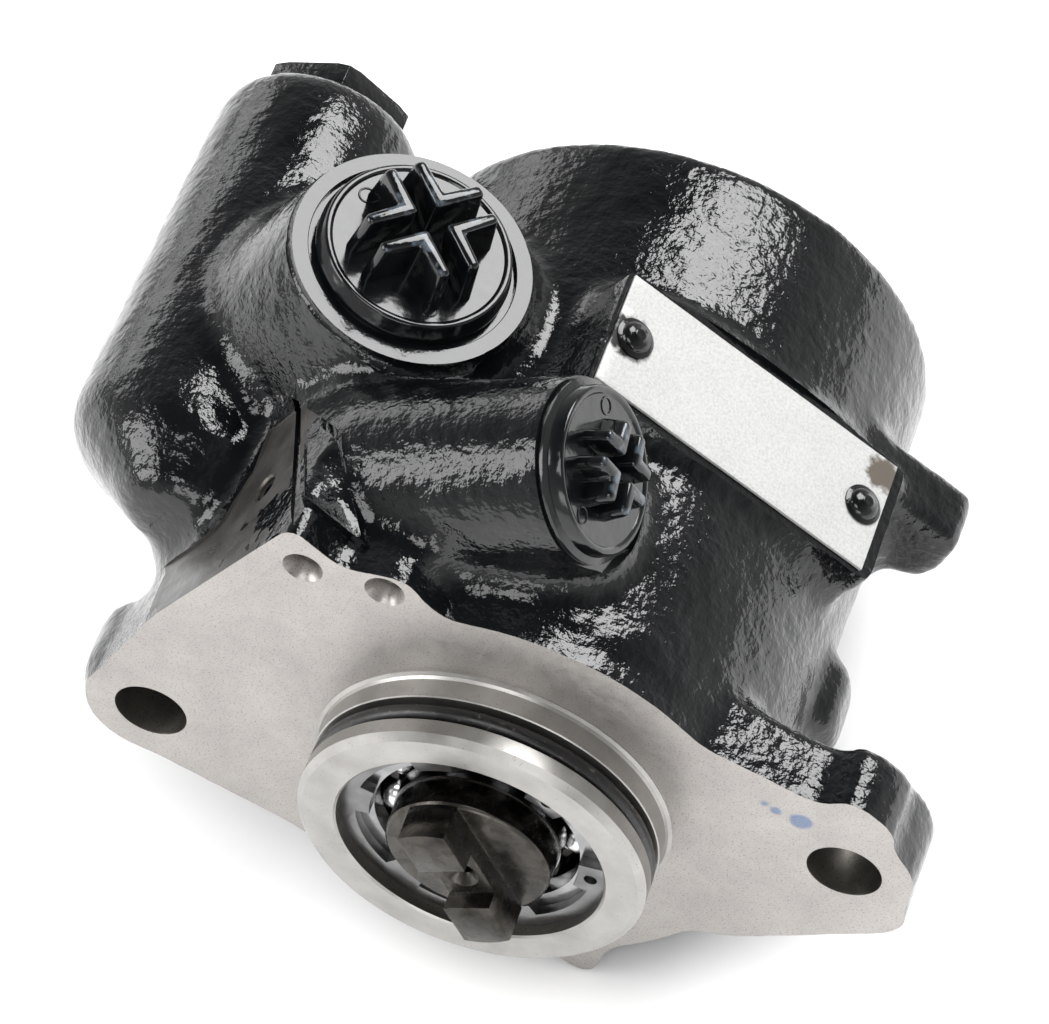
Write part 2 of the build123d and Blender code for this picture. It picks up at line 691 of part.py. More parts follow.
def make_pumping_set():
    front = port_plate(front_plate_t / 3, front_plate_t, front_plate_t, spline_tip_r + plate_bore_gap,
                            cam_front, chamber_front, kidney_r + kidney_w / 2)
    rear = port_plate(rear_plate_t / 3, rear_plate_t, rear_plate_t, rear_journal_r + plate_bore_gap,
                           cam_rear, plates_rear, 2 * chamber_r)
    front_seal_y = chamber_front + front_plate_t / 2
    rear_seal_y = plates_rear - rear_plate_t / 4
    front -= rim_groove(front_seal_y, plate_seal_d)
    rear -= rim_groove(rear_seal_y, plate_seal_d)
    ellipse = Rot(0, 0, cam_turn) * Ellipse(cam_major, cam_minor)
    cam = disc(set_r, cam_front, cam_rear) - slab(ellipse, cam_front - 1, cam_rear + 1)
    for pin in pins():
        front -= pin
        rear -= pin
        cam -= pin
    keep("front_port_plate", front)
    keep("rear_port_plate", rear)
    keep("cam_ring", cam)
    keep("locating_pins", *pins())
    seal_r = chamber_r - plate_seal_d / 2
    keep("front_plate_o_ring", o_ring(seal_r, plate_seal_d, front_seal_y))
    keep("rear_plate_o_ring", o_ring(seal_r, plate_seal_d, rear_seal_y))
    # a coned spring washer pushes the rear plate forwards
    keep("plate_spring", turned([(plate_spring_in, plates_rear), ((chamber_r - plate_spring_inset), cover_front - plate_spring_t),
                                 ((chamber_r - plate_spring_inset), cover_front), (plate_spring_in, plates_rear + plate_spring_t)]))


def make_rotor():
    y0 = cam_front + side_gap
    y1 = cam_rear - side_gap
    rotor = disc(rotor_r, y0, y1) - disc(spline_core_r + spline_gap, y0 - 1, y1 + 1)
    rotor -= spline_bars(spline_w + 2 * spline_gap, y0 - 1, y1 + 1) & disc(spline_tip_r + spline_gap, y0, y1)
    root = rotor_r - vane_h
    slot_w = vane_t + 2 * vane_gap
    for i in range(vane_count):
        angle = cam_turn + 360 * i / vane_count
        slot = Pos((root + rotor_r + 1) / 2, (y0 + y1) / 2, 0) * Box(rotor_r + 1 - root, cam_w, slot_w)
        slot += disc(slot_root_r, y0 - 1, y1 + 1, root)
        rotor -= about_drive(angle, slot)
        vane = Pos(root + vane_h / 2, (y0 + y1) / 2, 0) * Box(vane_h, y1 - y0, vane_t)
        keep(f"vane_{i + 1}", about_drive(angle, vane))
    keep("rotor", rotor)


def make_rear_cover():
    cover = disc(set_r, cover_front, cover_rear)
    cover -= tube((chamber_r - cover_dish_inset), cover_dish_in, cover_rear - cover_dish_depth, cover_rear + 1)
    seal_y = (cover_front + cover_rear) / 2
    cover -= rim_groove(seal_y, cover_seal_d)
    cover -= disc(rear_bush_r, cover_front - 1, cover_front + rear_bush_len + 1)
    keep("rear_cover", cover)
    keep("rear_cover_o_ring", o_ring(chamber_r - cover_seal_d / 2, cover_seal_d, seal_y))
    r_out = chamber_r + cover_keeper_groove
    y1 = cover_rear + cover_keeper_t
    ring = tube(r_out, r_out - cover_keeper_radial, cover_rear, y1)
    ring -= wedge(-90, cover_keeper_gap / 2, 2 * chamber_r, cover_rear - 1, y1 + 1)
    keep("rear_cover_ring", ring)
    keep("rear_bush", tube(rear_bush_r, rear_journal_r + run_gap, cover_front, cover_front + rear_bush_len))


def make_valve():
    x, z = valve_x, valve_z
    corner_r = hex_flats / sqrt(3)
    hexagon = Pos(x, z) * Rot(0, 0, hex_turn) * RegularPolygon(corner_r, 6)
    head = slab(hexagon, valve_end, valve_end + hex_h)
    head &= turned([(0, valve_end), (corner_r, valve_end), (corner_r, valve_end + hex_h - hex_chamfer / 2),
                    (corner_r - hex_chamfer, valve_end + hex_h), (0, valve_end + hex_h)], x, z)
    plug = head + disc(valve_thread_r, thread_front, valve_end, x, z)
    plug += disc(nose_r, thread_front - nose_len, thread_front, x, z)
    ring_y = valve_end - plug_seal_d / 2
    plug -= tube(valve_thread_r + 1, valve_thread_r - 0.2, valve_end - plug_seal_d, valve_end, x, z)
    keep("valve_plug", plug)
    keep("valve_plug_seal", o_ring(valve_thread_r + plug_seal_d / 2, plug_seal_d, ring_y, x, z))
    # flow-control spool with a relief bore from its rear end
    r = valve_bore_r - spool_gap
    waist = spool_front + land_w
    spool = turned([(0, spool_front - spool_nub), (spool_nub_r, spool_front - spool_nub), (spool_nub_r, spool_front),
                    (r, spool_front), (r, waist), (r - land_groove, waist), (r - land_groove, waist + land_gap_w),
                    (r, waist + land_gap_w), (r, spool_rear), (0, spool_rear)], x, z)
    bore_front = spool_front + relief_wall
    spool -= disc(relief_bore_r, bore_front, spool_rear + 1, x, z)
    vent_y = waist + land_gap_w / 2
    spool -= drill(relief_hole_r, (x, vent_y, z - valve_bore_r - 1), (x, vent_y, z + valve_bore_r + 1))
    keep("flow_control_spool", spool)
    seat_face = spool_rear - relief_plug_len
    keep("relief_seat", tube(relief_bore_r, relief_hole_r, seat_face, spool_rear, x, z))
    ball_y = seat_face - sqrt(relief_ball_r ** 2 - relief_hole_r ** 2) - side_gap
    keep("relief_ball", Pos(x, ball_y, z) * Sphere(relief_ball_r))
    seat_reach = relief_ball_r + relief_wire / 2
    coil_end = ball_y - sqrt(seat_reach ** 2 - relief_mean_r ** 2) + relief_wire / 2 - side_gap
    keep("relief_spring", coil(relief_wire, relief_mean_r, relief_turns, bore_front, coil_end, x, z))
    keep("spool_spring", coil(spring_wire, spring_mean_r, spring_turns, spool_rear, thread_front, x, z))


def transit_plug(port, plug_r, bore_r, scale, tall, first_turn):
    """A moulded port plug: disc, hollow stem and four angled grips around a cross slot."""
    seat = gasket_t - rim_depth
    plug = bar(port, plug_r, seat, plug_proud)
    plug = chamfer(plug.edges().filter_by(GeomType.CIRCLE), plug_edge)
    stem_r = bore_r - plug_slack
    plug += bar(port, stem_r, seat - plug_stem_len, seat)
    plug -= bar(port, stem_r - plug_stem_wall, seat - plug_stem_len - 1, plug_proud / 2 - plug_stem_wall)
    arm = grip_arm * scale
    inner = grip_slot * scale / 2
    for turn in (0, 90, 180, 270):
        legs = Pos(inner + arm / 2, inner + grip_t / 2, 0) * Box(arm, grip_t, tall)
        legs += Pos(inner + grip_t / 2, inner + arm / 2, 0) * Box(grip_t, arm, tall)
        plug += port * Rot(0, 0, first_turn + turn) * Pos(0, 0, plug_proud + tall / 2) * legs
    return plug


def make_port_plugs():
    for name, port, plug_r, bore_r, scale, tall, first_turn in (
            ("inlet", inlet, inlet_plug_r, inlet_bore_r, 1.0, grip_h, inlet_grip_turn),
            ("outlet", outlet, outlet_plug_r, outlet_bore_r, small_grip, small_grip_h, outlet_grip_turn)):
        keep(f"{name}_transit_plug", transit_plug(port, plug_r, bore_r, scale, tall, first_turn))
        washer = bar(port, plug_r - plug_edge, -rim_depth, gasket_t - rim_depth)
        keep(f"{name}_plug_gasket", washer - bar(port, bore_r, -rim_depth - 1, 1))


def make_small_pieces():
    balls = []
    for x, z in (left_gallery, right_gallery):
        balls.append(Pos(x, countersink_depth + ball_plug_sink + ball_plug_r, z) * Sphere(ball_plug_r))
    keep("ball_plugs", *balls)
    screw = bar(side_screw, gallery_screw_r, -gallery_screw_sink - gallery_screw_len, -gallery_screw_sink)
    socket = RegularPolygon(gallery_screw_hex / sqrt(3), 6)
    screw -= extrude(side_screw * Pos(0, 0, -gallery_screw_sink) * socket, amount=-gallery_screw_len / 2)
    keep("gallery_screw", screw)
    plate = pad * Pos(0, 0, plate_t / 2) * Box(plate_len, plate_w, plate_t)
    rivets = []
    dome_r = (rivet_r ** 2 + (rivet_dome - rivet_rim) ** 2) / (2 * (rivet_dome - rivet_rim))
    for s in (-1, 1):
        place = pad * Pos(s * rivet_spacing / 2, 0, 0)
        plate -= place * Cylinder(rivet_shank_r, 4 * plate_t)
        dome = Pos(0, 0, plate_t + rivet_dome - dome_r) * Sphere(dome_r)
        head = Pos(0, 0, plate_t + rivet_dome / 2) * Cylinder(rivet_r, rivet_dome) & dome
        shank = Pos(0, 0, (plate_t - rivet_len) / 2) * Cylinder(rivet_shank_r, plate_t + rivet_len)
        rivets.append(place * (head + shank))
    keep("name_plate", plate)
    keep("name_plate_rivets", *rivets)


keep("housing", make_housing())
make_bearing()
make_keeper()
make_shaft()
make_front_seals()
make_pumping_set()
make_rotor()
make_rear_cover()
make_valve()
make_port_plugs()
make_small_pieces()

os.makedirs("parts", exist_ok=True)
for name, piece in made.items():
    export_step(piece, f"parts/{name}.step")
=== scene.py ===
import math

import bmesh
import bpy
from mathutils import Matrix, Vector


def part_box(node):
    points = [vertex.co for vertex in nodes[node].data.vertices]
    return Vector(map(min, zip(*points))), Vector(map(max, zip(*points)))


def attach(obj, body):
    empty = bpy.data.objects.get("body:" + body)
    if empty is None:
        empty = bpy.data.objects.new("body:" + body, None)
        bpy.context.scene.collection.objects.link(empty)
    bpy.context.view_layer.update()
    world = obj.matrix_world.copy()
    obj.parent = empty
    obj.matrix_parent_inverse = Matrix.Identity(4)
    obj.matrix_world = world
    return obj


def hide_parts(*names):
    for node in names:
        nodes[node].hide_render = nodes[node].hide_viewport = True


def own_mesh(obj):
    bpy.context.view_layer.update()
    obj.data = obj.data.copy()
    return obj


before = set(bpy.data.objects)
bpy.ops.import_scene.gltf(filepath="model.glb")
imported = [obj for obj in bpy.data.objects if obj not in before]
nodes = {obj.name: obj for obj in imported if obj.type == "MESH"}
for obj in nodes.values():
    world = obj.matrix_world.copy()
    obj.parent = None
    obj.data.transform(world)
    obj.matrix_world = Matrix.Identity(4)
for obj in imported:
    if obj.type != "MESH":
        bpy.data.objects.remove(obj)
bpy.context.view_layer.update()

# A flange-mounted vane pump for power steering, in black enamel over rough cast iron, with milled and turned
# grey iron faces. Shapes are given in millimetres and made in metres.
# The origin is where the drive axis meets the mounting face: +X along the bolt line, +Y back, +Z up.
MM = 0.001

# Mounting flange; the casting's milled side runs from side_low to side_high, as (x, z) on the face
bolt_x = 65.0
bolt_hole_r = 6.75
spot_face_r = 12.3
ear_r = 12.4
ear_depth = 15.0
flange_depth = 13.0
side_low = (-64.0, 26.6)
side_high = (-34.5, 63.0)

# Pilot, bearing seat, and the bores behind it
pilot_r = 32.5
pilot_len = 14.0
pilot_groove_r = 28.9
pilot_groove = (-9.7, -4.9)
bearing_r = 25.0
bearing_front = -9.2
bearing_rear = 4.8
keeper_groove_r = 26.5
seal_r = 19.0
circlip_r = 17.5
front_bush_r = 13.03
chamber_r = 40.0
chamber_front = 34.0
cover_groove_r = 42.0
cover_groove = (102.0, 104.2)
barrel_end = 113.0

# Valve body, with the travels of its spool and relief ball
valve_x = -69.8
valve_z = 26.5
valve_end = 118.3
spool_r = 9.0
thread_front = 105.3

# Ports and their transit plugs; a cutter faces each boss just wider than its rim
inlet_angle = 69.7
inlet_reach = 47.4
inlet_offset = 52.1
inlet_y = 65.0
inlet_cutter_r = 23.6
inlet_rim_r = 19.2
inlet_bore_r = 11.0
outlet_angle = 24.0
outlet_reach = 36.0
outlet_y = 26.7
outlet_cutter_r = 18.0
outlet_rim_r = 15.3
outlet_bore_r = 8.3
plug_proud = 4.2

# Name plate on its cast pad
plate_angle = 51.3
plate_reach = 49.2
plate_offset = 1.36
plate_y = 62.3
pad_w = 26.7
plate_len = 61.8
plate_w = 24.3
plate_t = 0.8
rivet_spacing = 53.3

# Drillings closed by balls, and the screw's hole in the milled side
left_gallery = (-31.6, 53.9)
right_gallery = (-16.8, 52.3)
countersink_r = 3.7
countersink_depth = 1.4
ball_plug_r = 2.6
screw_hole = (-17.8, 30.1)
screw_hole_r = 2.6


def axes(x, y, z, origin):
    """A place: the directions of its own x, y and z, and its origin in millimetres."""
    m = Matrix((x, y, z)).transposed().to_4x4()
    m.translation = Vector(origin) * MM
    return m


def leaning(angle, origin, along_x):
    """A place whose z leans angle degrees up from +X."""
    c = math.cos(math.radians(angle))
    s = math.sin(math.radians(angle))
    out = Vector((c, 0, s))
    x = Vector((0, -1, 0)) if along_x else Vector((s, 0, -c))
    return axes(x, out.cross(x), out, origin)


def port_origin(angle, reach, offset, y):
    """Where a port's axis meets its face."""
    c = math.cos(math.radians(angle))
    s = math.sin(math.radians(angle))
    return (c * reach - s * offset, y, s * reach + c * offset)


# the delivery port's axis crosses the valve's, so its offset and depth follow from where the valve is
outlet_cos = math.cos(math.radians(outlet_angle))
outlet_sin = math.sin(math.radians(outlet_angle))
outlet_offset = valve_z * outlet_cos - valve_x * outlet_sin
outlet_depth = outlet_reach - valve_x * outlet_cos - valve_z * outlet_sin
DRIVE = axes((1, 0, 0), (0, 0, -1), (0, 1, 0), (0, 0, 0))
VALVE = axes((1, 0, 0), (0, 0, -1), (0, 1, 0), (valve_x, 0, valve_z))
INLET = leaning(inlet_angle, port_origin(inlet_angle, inlet_reach, inlet_offset, inlet_y), True)
OUTLET = leaning(outlet_angle, port_origin(outlet_angle, outlet_reach, outlet_offset, outlet_y), True)
PAD = leaning(plate_angle, port_origin(plate_angle, plate_reach, plate_offset, plate_y), False)
slope = math.atan2(side_high[1] - side_low[1], side_high[0] - side_low[0])
SIDE = axes((0, -1, 0), (math.cos(slope), 0, math.sin(slope)), (-math.sin(slope), 0, math.cos(slope)),
            (side_low[0], 0, side_low[1]))
# the raised panel's plane holds the ridge beside the milled side and a point on the delivery boss
ridge_front = Vector((-33.4, 1.0, 64.4))
ridge_rear = Vector((-47.2, 41.4, 47.3))
boss_high = Vector((-31.8, 24.2, 62.7))
panel_out = (boss_high - ridge_front).cross(ridge_rear - ridge_front).normalized()
ridge_along = (ridge_rear - ridge_front).normalized()
PANEL = axes(panel_out.cross(ridge_along), -ridge_along, panel_out, ridge_front)


# Shaping

def only(*objs):
    """Selects these objects and no others."""
    bpy.ops.object.select_all(action="DESELECT")
    for o in objs:
        o.select_set(True)
    bpy.context.view_layer.objects.active = objs[0]


def named(name):
    """Names the shape that was just added."""
    obj = bpy.context.object
    obj.name = name
    obj.data.name = name
    return obj


def settle(obj, place):
    """Moves a shape to its place and applies that, so that its object stays at the origin."""
    only(obj)
    obj.matrix_world = place @ obj.matrix_world
    bpy.ops.object.transform_apply(location=True, rotation=True, scale=True)
    return obj


def pick(obj, test, kind="VERT"):
    """In edit mode, selects the vertices, edges or faces that pass a test, and nothing else."""
    bpy.ops.mesh.select_mode(type=kind)
    bpy.ops.mesh.select_all(action="DESELECT")
    bm = bmesh.from_edit_mesh(obj.data)
    for item in {"VERT": bm.verts, "EDGE": bm.edges, "FACE": bm.faces}[kind]:
        if test(item):
            item.select_set(True)
    bm.select_flush_mode()
    bmesh.update_edit_mesh(obj.data)


def lathe(name, stations, place, steps=96, ring=False):
    """A turned shape about its place's z, from (radius, height) stations with an optional sideways shift."""
    stations = [(s[0], s[1], s[2] if len(s) > 2 else 0.0) for s in stations]
    r, z, shift = stations[0]
    bpy.ops.mesh.primitive_circle_add(vertices=steps, radius=r * MM, location=(0, shift * MM, z * MM))
    obj = named(name)
    bpy.ops.object.transform_apply(location=True, rotation=True, scale=True)
    bpy.ops.object.mode_set(mode="EDIT")
    bpy.ops.mesh.select_all(action="SELECT")
    for r1, z1, shift1 in stations[1:]:
        step = (0, (shift1 - shift) * MM, (z1 - z) * MM)
        bpy.ops.mesh.extrude_region_move(TRANSFORM_OT_translate={"value": step})
        bpy.ops.transform.resize(value=(r1 / r, r1 / r, 1), center_override=(0, shift1 * MM, z1 * MM))
        r, z, shift = r1, z1, shift1
    count = len(stations) * steps
    if ring:
        pick(obj, lambda v: v.index < steps or v.index >= count - steps)
        pick_edges_of_selection(obj)
        bpy.ops.mesh.bridge_edge_loops()
    else:
        bpy.ops.mesh.edge_face_add()
        pick(obj, lambda v: v.index < steps)
        bpy.ops.mesh.edge_face_add()
    bpy.ops.mesh.select_all(action="SELECT")
    bpy.ops.mesh.normals_make_consistent(inside=False)
    bpy.ops.object.mode_set(mode="OBJECT")
    return settle(obj, place)


def pick_edges_of_selection(obj):
    """Keeps only the open edges among the selected vertices."""
    bm = bmesh.from_edit_mesh(obj.data)
    chosen = {e for e in bm.edges if e.is_boundary and e.verts[0].select and e.verts[1].select}
    pick(obj, lambda e: e in chosen, "EDGE")


def prism(name, points, z0, z1, place):
    """An outline of (x, y) points pushed from z0 to z1 along its place's z."""
    bpy.ops.mesh.primitive_circle_add(vertices=len(points), radius=MM, fill_type="NGON")
    obj = named(name)
    for v, (x, y) in zip(obj.data.vertices, points):
        v.co = (x * MM, y * MM, z0 * MM)
    bpy.ops.object.mode_set(mode="EDIT")
    bpy.ops.mesh.select_all(action="SELECT")
    bpy.ops.mesh.extrude_region_move(TRANSFORM_OT_translate={"value": (0, 0, (z1 - z0) * MM)})
    bpy.ops.mesh.select_all(action="SELECT")
    bpy.ops.mesh.normals_make_consistent(inside=False)
    bpy.ops.object.mode_set(mode="OBJECT")
    return settle(obj, place)


def patch(name, corners, depth, place):
    """A twisted four-cornered patch, drawn straight between its corners, with a thickness below it."""
    bpy.ops.mesh.primitive_circle_add(vertices=4, radius=MM, fill_type="NGON")
    obj = named(name)
    for v, corner in zip(obj.data.vertices, corners):
        v.co = Vector(corner) * MM
    bpy.ops.object.mode_set(mode="EDIT")
    bpy.ops.mesh.select_all(action="SELECT")
    bpy.ops.mesh.subdivide(number_cuts=8)
    bpy.ops.mesh.extrude_region_move(TRANSFORM_OT_translate={"value": (0, 0, -depth * MM)})
    bpy.ops.mesh.select_all(action="SELECT")
    bpy.ops.mesh.normals_make_consistent(inside=False)
    bpy.ops.object.mode_set(mode="OBJECT")
    return settle(obj, place)


def block(name, low, high, place):
    """A box between two corners of its place."""
    (x0, y0, z0), (x1, y1, z1) = low, high
    return prism(name, [(x0, y0), (x1, y0), (x1, y1), (x0, y1)], z0, z1, place)


def front_slab(name, outline, y0, y1):
    """An outline drawn in X and Z, pushed from y0 back to y1."""
    return prism(name, [(x, -z) for x, z in outline], y0, y1, DRIVE)


def joined(name, parts):
    """Joins several shapes into one mesh."""
    only(*parts)
    bpy.ops.object.join()
    return named(name)


def modify(obj, kind, **settings):
    """Adds a modifier with its settings and applies it."""
    only(obj)
    m = obj.modifiers.new(kind.title(), kind)
    for key, value in settings.items():
        setattr(m, key, value)
    bpy.ops.object.modifier_apply(modifier=m.name)
    return obj


def remeshed(obj, voxel):
    """Skins overlapping closed shapes as one."""
    return modify(obj, "REMESH", mode="VOXEL", voxel_size=voxel * MM, use_smooth_shade=True)


def clouds(name, size, depth):
    """A soft random height field with humps of a size in millimetres."""
    tex = bpy.data.textures.new(name, "CLOUDS")
    tex.noise_scale = size * MM
    tex.noise_depth = depth
    return tex


def cut(obj, tool):
    """Cuts a tool out of a shape; the new faces take the tool's finish."""
    modify(obj, "BOOLEAN", operation="DIFFERENCE", object=tool, solver="MANIFOLD")
    bpy.data.objects.remove(tool)
    return obj


def fuse(obj, tool):
    """Joins a tool into a shape as one solid."""
    modify(obj, "BOOLEAN", operation="UNION", object=tool, solver="MANIFOLD")
    bpy.data.objects.remove(tool)
    return obj


def shifted(place, x, y, z=0.0):
    """The same place moved along its own axes, in millimetres."""
    return place @ Matrix.Translation((x * MM, y * MM, z * MM))


def smooth(obj, angle=32):
    """Shades by angle."""
    only(obj)
    bpy.ops.object.shade_smooth_by_angle(angle=math.radians(angle))
    return obj


def bevelled(obj, width, segments=2, angle=30):
    """Rounds the sharp edges."""
    modify(obj, "BEVEL", width=width * MM, segments=segments, limit_method="ANGLE",
           angle_limit=math.radians(angle), harden_normals=False)
    return smooth(obj)


def dressed_up(obj, finish, body, slot, *replaced):
    """Gives a new piece its finish and the body that it rides on, and hides the nodes that it stands for."""
    if finish:
        obj.data.materials.clear()
        obj.data.materials.append(finish)
    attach(obj, body)
    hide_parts(*replaced)
    return obj


def copy_of(node, name):
    """A merged copy of a CAD node, ready to be worked on."""
    source = nodes[node]
    obj = bpy.data.objects.new(name, source.data.copy())
    obj.data.name = name
    bpy.context.scene.collection.objects.link(obj)
    obj.data.materials.clear()
    only(obj)
    bpy.ops.object.mode_set(mode="EDIT")
    bpy.ops.mesh.select_all(action="SELECT")
    bpy.ops.mesh.remove_doubles(threshold=1e-6)
    bpy.ops.mesh.dissolve_limited(angle_limit=math.radians(1.5))
    bpy.ops.object.mode_set(mode="OBJECT")
    return obj


# Finishes

def linear(hex_code, alpha=1.0):
    """An sRGB hex colour as linear values."""
    out = []
    for i in (1, 3, 5):
        c = int(hex_code[i:i + 2], 16) / 255
        out.append(c / 12.92 if c <= 0.04045 else ((c + 0.055) / 1.055) ** 2.4)
    return (*out, alpha)


def grey(v):
    """A neutral linear value for a ramp."""
    return (v, v, v, 1)


def per(size):
    """The scale of a pattern whose features are size millimetres apart."""
    return 1 / (size * MM)


def add(owner, kind, inputs=None, stops=None, gives=0, **settings):
    """Adds a node to a material or the world with its settings, its ramp's stops and its inputs, which are
    values or sockets to link from; gives back one of its outputs."""
    tree = owner.node_tree
    n = tree.nodes.new("ShaderNode" + kind)
    for key, value in settings.items():
        setattr(n, key, value)
    for key, value in (inputs or {}).items():
        if isinstance(value, bpy.types.NodeSocket):
            tree.links.new(value, n.inputs[key])
        else:
            n.inputs[key].default_value = value
    for i, (position, colour) in enumerate(stops or []):
        if i > 1:
            n.color_ramp.elements.new(position)
        n.color_ramp.elements[i].position = position
        n.color_ramp.elements[i].color = colour
    return n.outputs[gives] if len(n.outputs) else n


def blank_finish(name):
    """An empty material, and its place coordinates."""
    mat = bpy.data.materials.new(name)
    mat.use_nodes = True
    mat.node_tree.nodes.clear()
    return mat, add(mat, "TexCoord", gives="Object")


def cast_enamel():
    """Thick gloss alkyd enamel sprayed on sand-cast iron: it gathers in pools that run smooth, and over the
    sand grain its highlights break up into small bright specks."""
    mat, at = blank_finish("gloss_enamel_on_sand_cast_iron")
    pools = add(mat, "TexNoise", {"Vector": at, "Scale": per(13.0), "Detail": 3.0})
    waves = add(mat, "TexNoise", {"Vector": at, "Scale": per(3.6), "Detail": 2.0, "Roughness": 0.5})
    lumps = add(mat, "TexNoise", {"Vector": at, "Scale": per(1.5), "Detail": 2.0, "Roughness": 0.5})
    grain = add(mat, "TexNoise", {"Vector": at, "Scale": per(0.7), "Detail": 2.0, "Roughness": 0.6})
    colour = add(mat, "ValToRGB", {"Fac": pools}, [(0.3, linear("#050607")), (0.7, linear("#0c0d0f"))])
    gloss = add(mat, "ValToRGB", {"Fac": pools}, [(0.35, grey(0.06)), (0.7, grey(0.15))])
    rough_patch = add(mat, "ValToRGB", {"Fac": pools}, [(0.38, grey(0.42)), (0.62, grey(1.0))])
    sand = add(mat, "Math", {0: lumps, 1: rough_patch}, operation="MULTIPLY")
    normal = add(mat, "Bump", {"Height": waves, "Distance": 0.2 * MM})
    normal = add(mat, "Bump", {"Height": sand, "Distance": 0.28 * MM, "Normal": normal})
    normal = add(mat, "Bump", {"Height": grain, "Distance": 0.045 * MM, "Normal": normal})
    shader = add(mat, "BsdfPrincipled", {"Base Color": colour, "Roughness": gloss, "IOR": 1.5,
                                         "Normal": normal})
    add(mat, "OutputMaterial", {"Surface": shader})
    return mat


def flat_enamel(name, light, dark, rough, marks):
    """The same enamel over a machined flat, level, with faint cutter marks: glossy where it lies thick, and
    satin and greyer where it is thin."""
    mat, at = blank_finish(name)
    cloud = add(mat, "TexNoise", {"Vector": at, "Scale": per(8.0), "Detail": 3.0})
    ripple = add(mat, "TexNoise", {"Vector": at, "Scale": per(2.0), "Detail": 2.0})
    grain = add(mat, "TexNoise", {"Vector": at, "Scale": per(0.5), "Detail": 2.0})
    colour = add(mat, "ValToRGB", {"Fac": cloud}, [(0.3, linear(dark)), (0.7, linear(light))])
    gloss = add(mat, "ValToRGB", {"Fac": cloud}, [(0.3, grey(rough)), (0.7, grey(1.8 * rough))])
    normal = add(mat, "Bump", {"Height": ripple, "Distance": marks * MM})
    normal = add(mat, "Bump", {"Height": grain, "Distance": 0.3 * marks * MM, "Normal": normal})
    shader = add(mat, "BsdfPrincipled", {"Base Color": colour, "Roughness": gloss, "IOR": 1.5,
                                         "Normal": normal})
    add(mat, "OutputMaterial", {"Surface": shader})
    return mat


def spot(mat, at, centre, near, far, wobble):
    """1 inside a round spot of the surface that fades out between two radii, with an uneven edge."""
    reach = add(mat, "VectorMath", {0: at, 1: [c * MM for c in centre]}, gives="Value", operation="DISTANCE")
    edge = add(mat, "TexNoise", {"Vector": at, "Scale": per(2.0), "Detail": 3.0})
    uneven = add(mat, "Math", {0: edge, 1: wobble * MM, 2: reach}, operation="MULTIPLY_ADD")
    return add(mat, "MapRange", {"Value": uneven, "From Min": (near + wobble / 2) * MM,
                                 "From Max": (far + wobble / 2) * MM, "To Min": 1.0, "To Max": 0.0})


def milled_iron(name, light, dark, rough, dabs=()):
    """Bare milled grey iron: light warm grey, dull, with fine graphite specks and a faint cutter grain.
    Marking ink may lie on it in dabs."""
    mat, at = blank_finish(name)
    fine = add(mat, "TexNoise", {"Vector": at, "Scale": per(0.4), "Detail": 3.0, "Roughness": 0.7})
    tone = add(mat, "TexNoise", {"Vector": at, "Scale": per(16.0), "Detail": 4.0, "Roughness": 0.6})
    dull = add(mat, "TexNoise", {"Vector": at, "Scale": per(2.5), "Detail": 4.0})
    base = add(mat, "ValToRGB", {"Fac": tone}, [(0.3, linear(dark)), (0.7, linear(light))])
    specks = add(mat, "ValToRGB", {"Fac": fine}, [(0.31, grey(0.38)), (0.45, grey(1.0))])
    colour = add(mat, "MixRGB", {"Fac": 1.0, "Color1": base, "Color2": specks}, blend_type="MULTIPLY")
    for centre, radius in dabs:
        mask = add(mat, "Math", {0: spot(mat, at, centre, radius - 0.7, radius, 1.2), 1: 0.62},
                   operation="MULTIPLY")
        colour = add(mat, "MixRGB", {"Fac": mask, "Color1": colour, "Color2": linear("#3f6690")})
    gloss = add(mat, "ValToRGB", {"Fac": dull}, [(0.3, grey(rough - 0.05)), (0.7, grey(rough + 0.07))])
    normal = add(mat, "Bump", {"Height": fine, "Distance": 0.015 * MM})
    shader = add(mat, "BsdfPrincipled", {"Base Color": colour, "Roughness": gloss, "Metallic": 0.9,
                                         "Normal": normal})
    add(mat, "OutputMaterial", {"Surface": shader})
    return mat


def turned_iron():
    """Grey iron turned on a lathe about the drive axis: fine rings, drawn coarser than real so that they
    show."""
    mat, at = blank_finish("turned_grey_iron")
    across = add(mat, "VectorMath", {0: at, 1: (1, 0, 1)}, operation="MULTIPLY")
    radius = add(mat, "VectorMath", {0: across}, gives="Value", operation="LENGTH")
    depth = add(mat, "SeparateXYZ", {"Vector": at}, gives="Y")
    along = add(mat, "CombineXYZ", {"X": radius, "Y": depth})
    rings = add(mat, "TexNoise", {"Vector": along, "Scale": per(0.4), "Detail": 1.0})
    tone = add(mat, "TexNoise", {"Vector": at, "Scale": per(7.0), "Detail": 4.0})
    fine = add(mat, "TexNoise", {"Vector": at, "Scale": per(0.5), "Detail": 2.0})
    base = add(mat, "ValToRGB", {"Fac": tone}, [(0.3, linear("#989693")), (0.7, linear("#adaba8"))])
    specks = add(mat, "ValToRGB", {"Fac": fine}, [(0.25, grey(0.6)), (0.36, grey(1.0))])
    colour = add(mat, "MixRGB", {"Fac": 1.0, "Color1": base, "Color2": specks}, blend_type="MULTIPLY")
    gloss = add(mat, "ValToRGB", {"Fac": tone}, [(0.3, grey(0.3)), (0.7, grey(0.4))])
    normal = add(mat, "Bump", {"Height": rings, "Distance": 0.012 * MM})
    shader = add(mat, "BsdfPrincipled", {"Base Color": colour, "Roughness": gloss, "Metallic": 0.95,
                                         "Normal": normal})
    add(mat, "OutputMaterial", {"Surface": shader})
    return mat


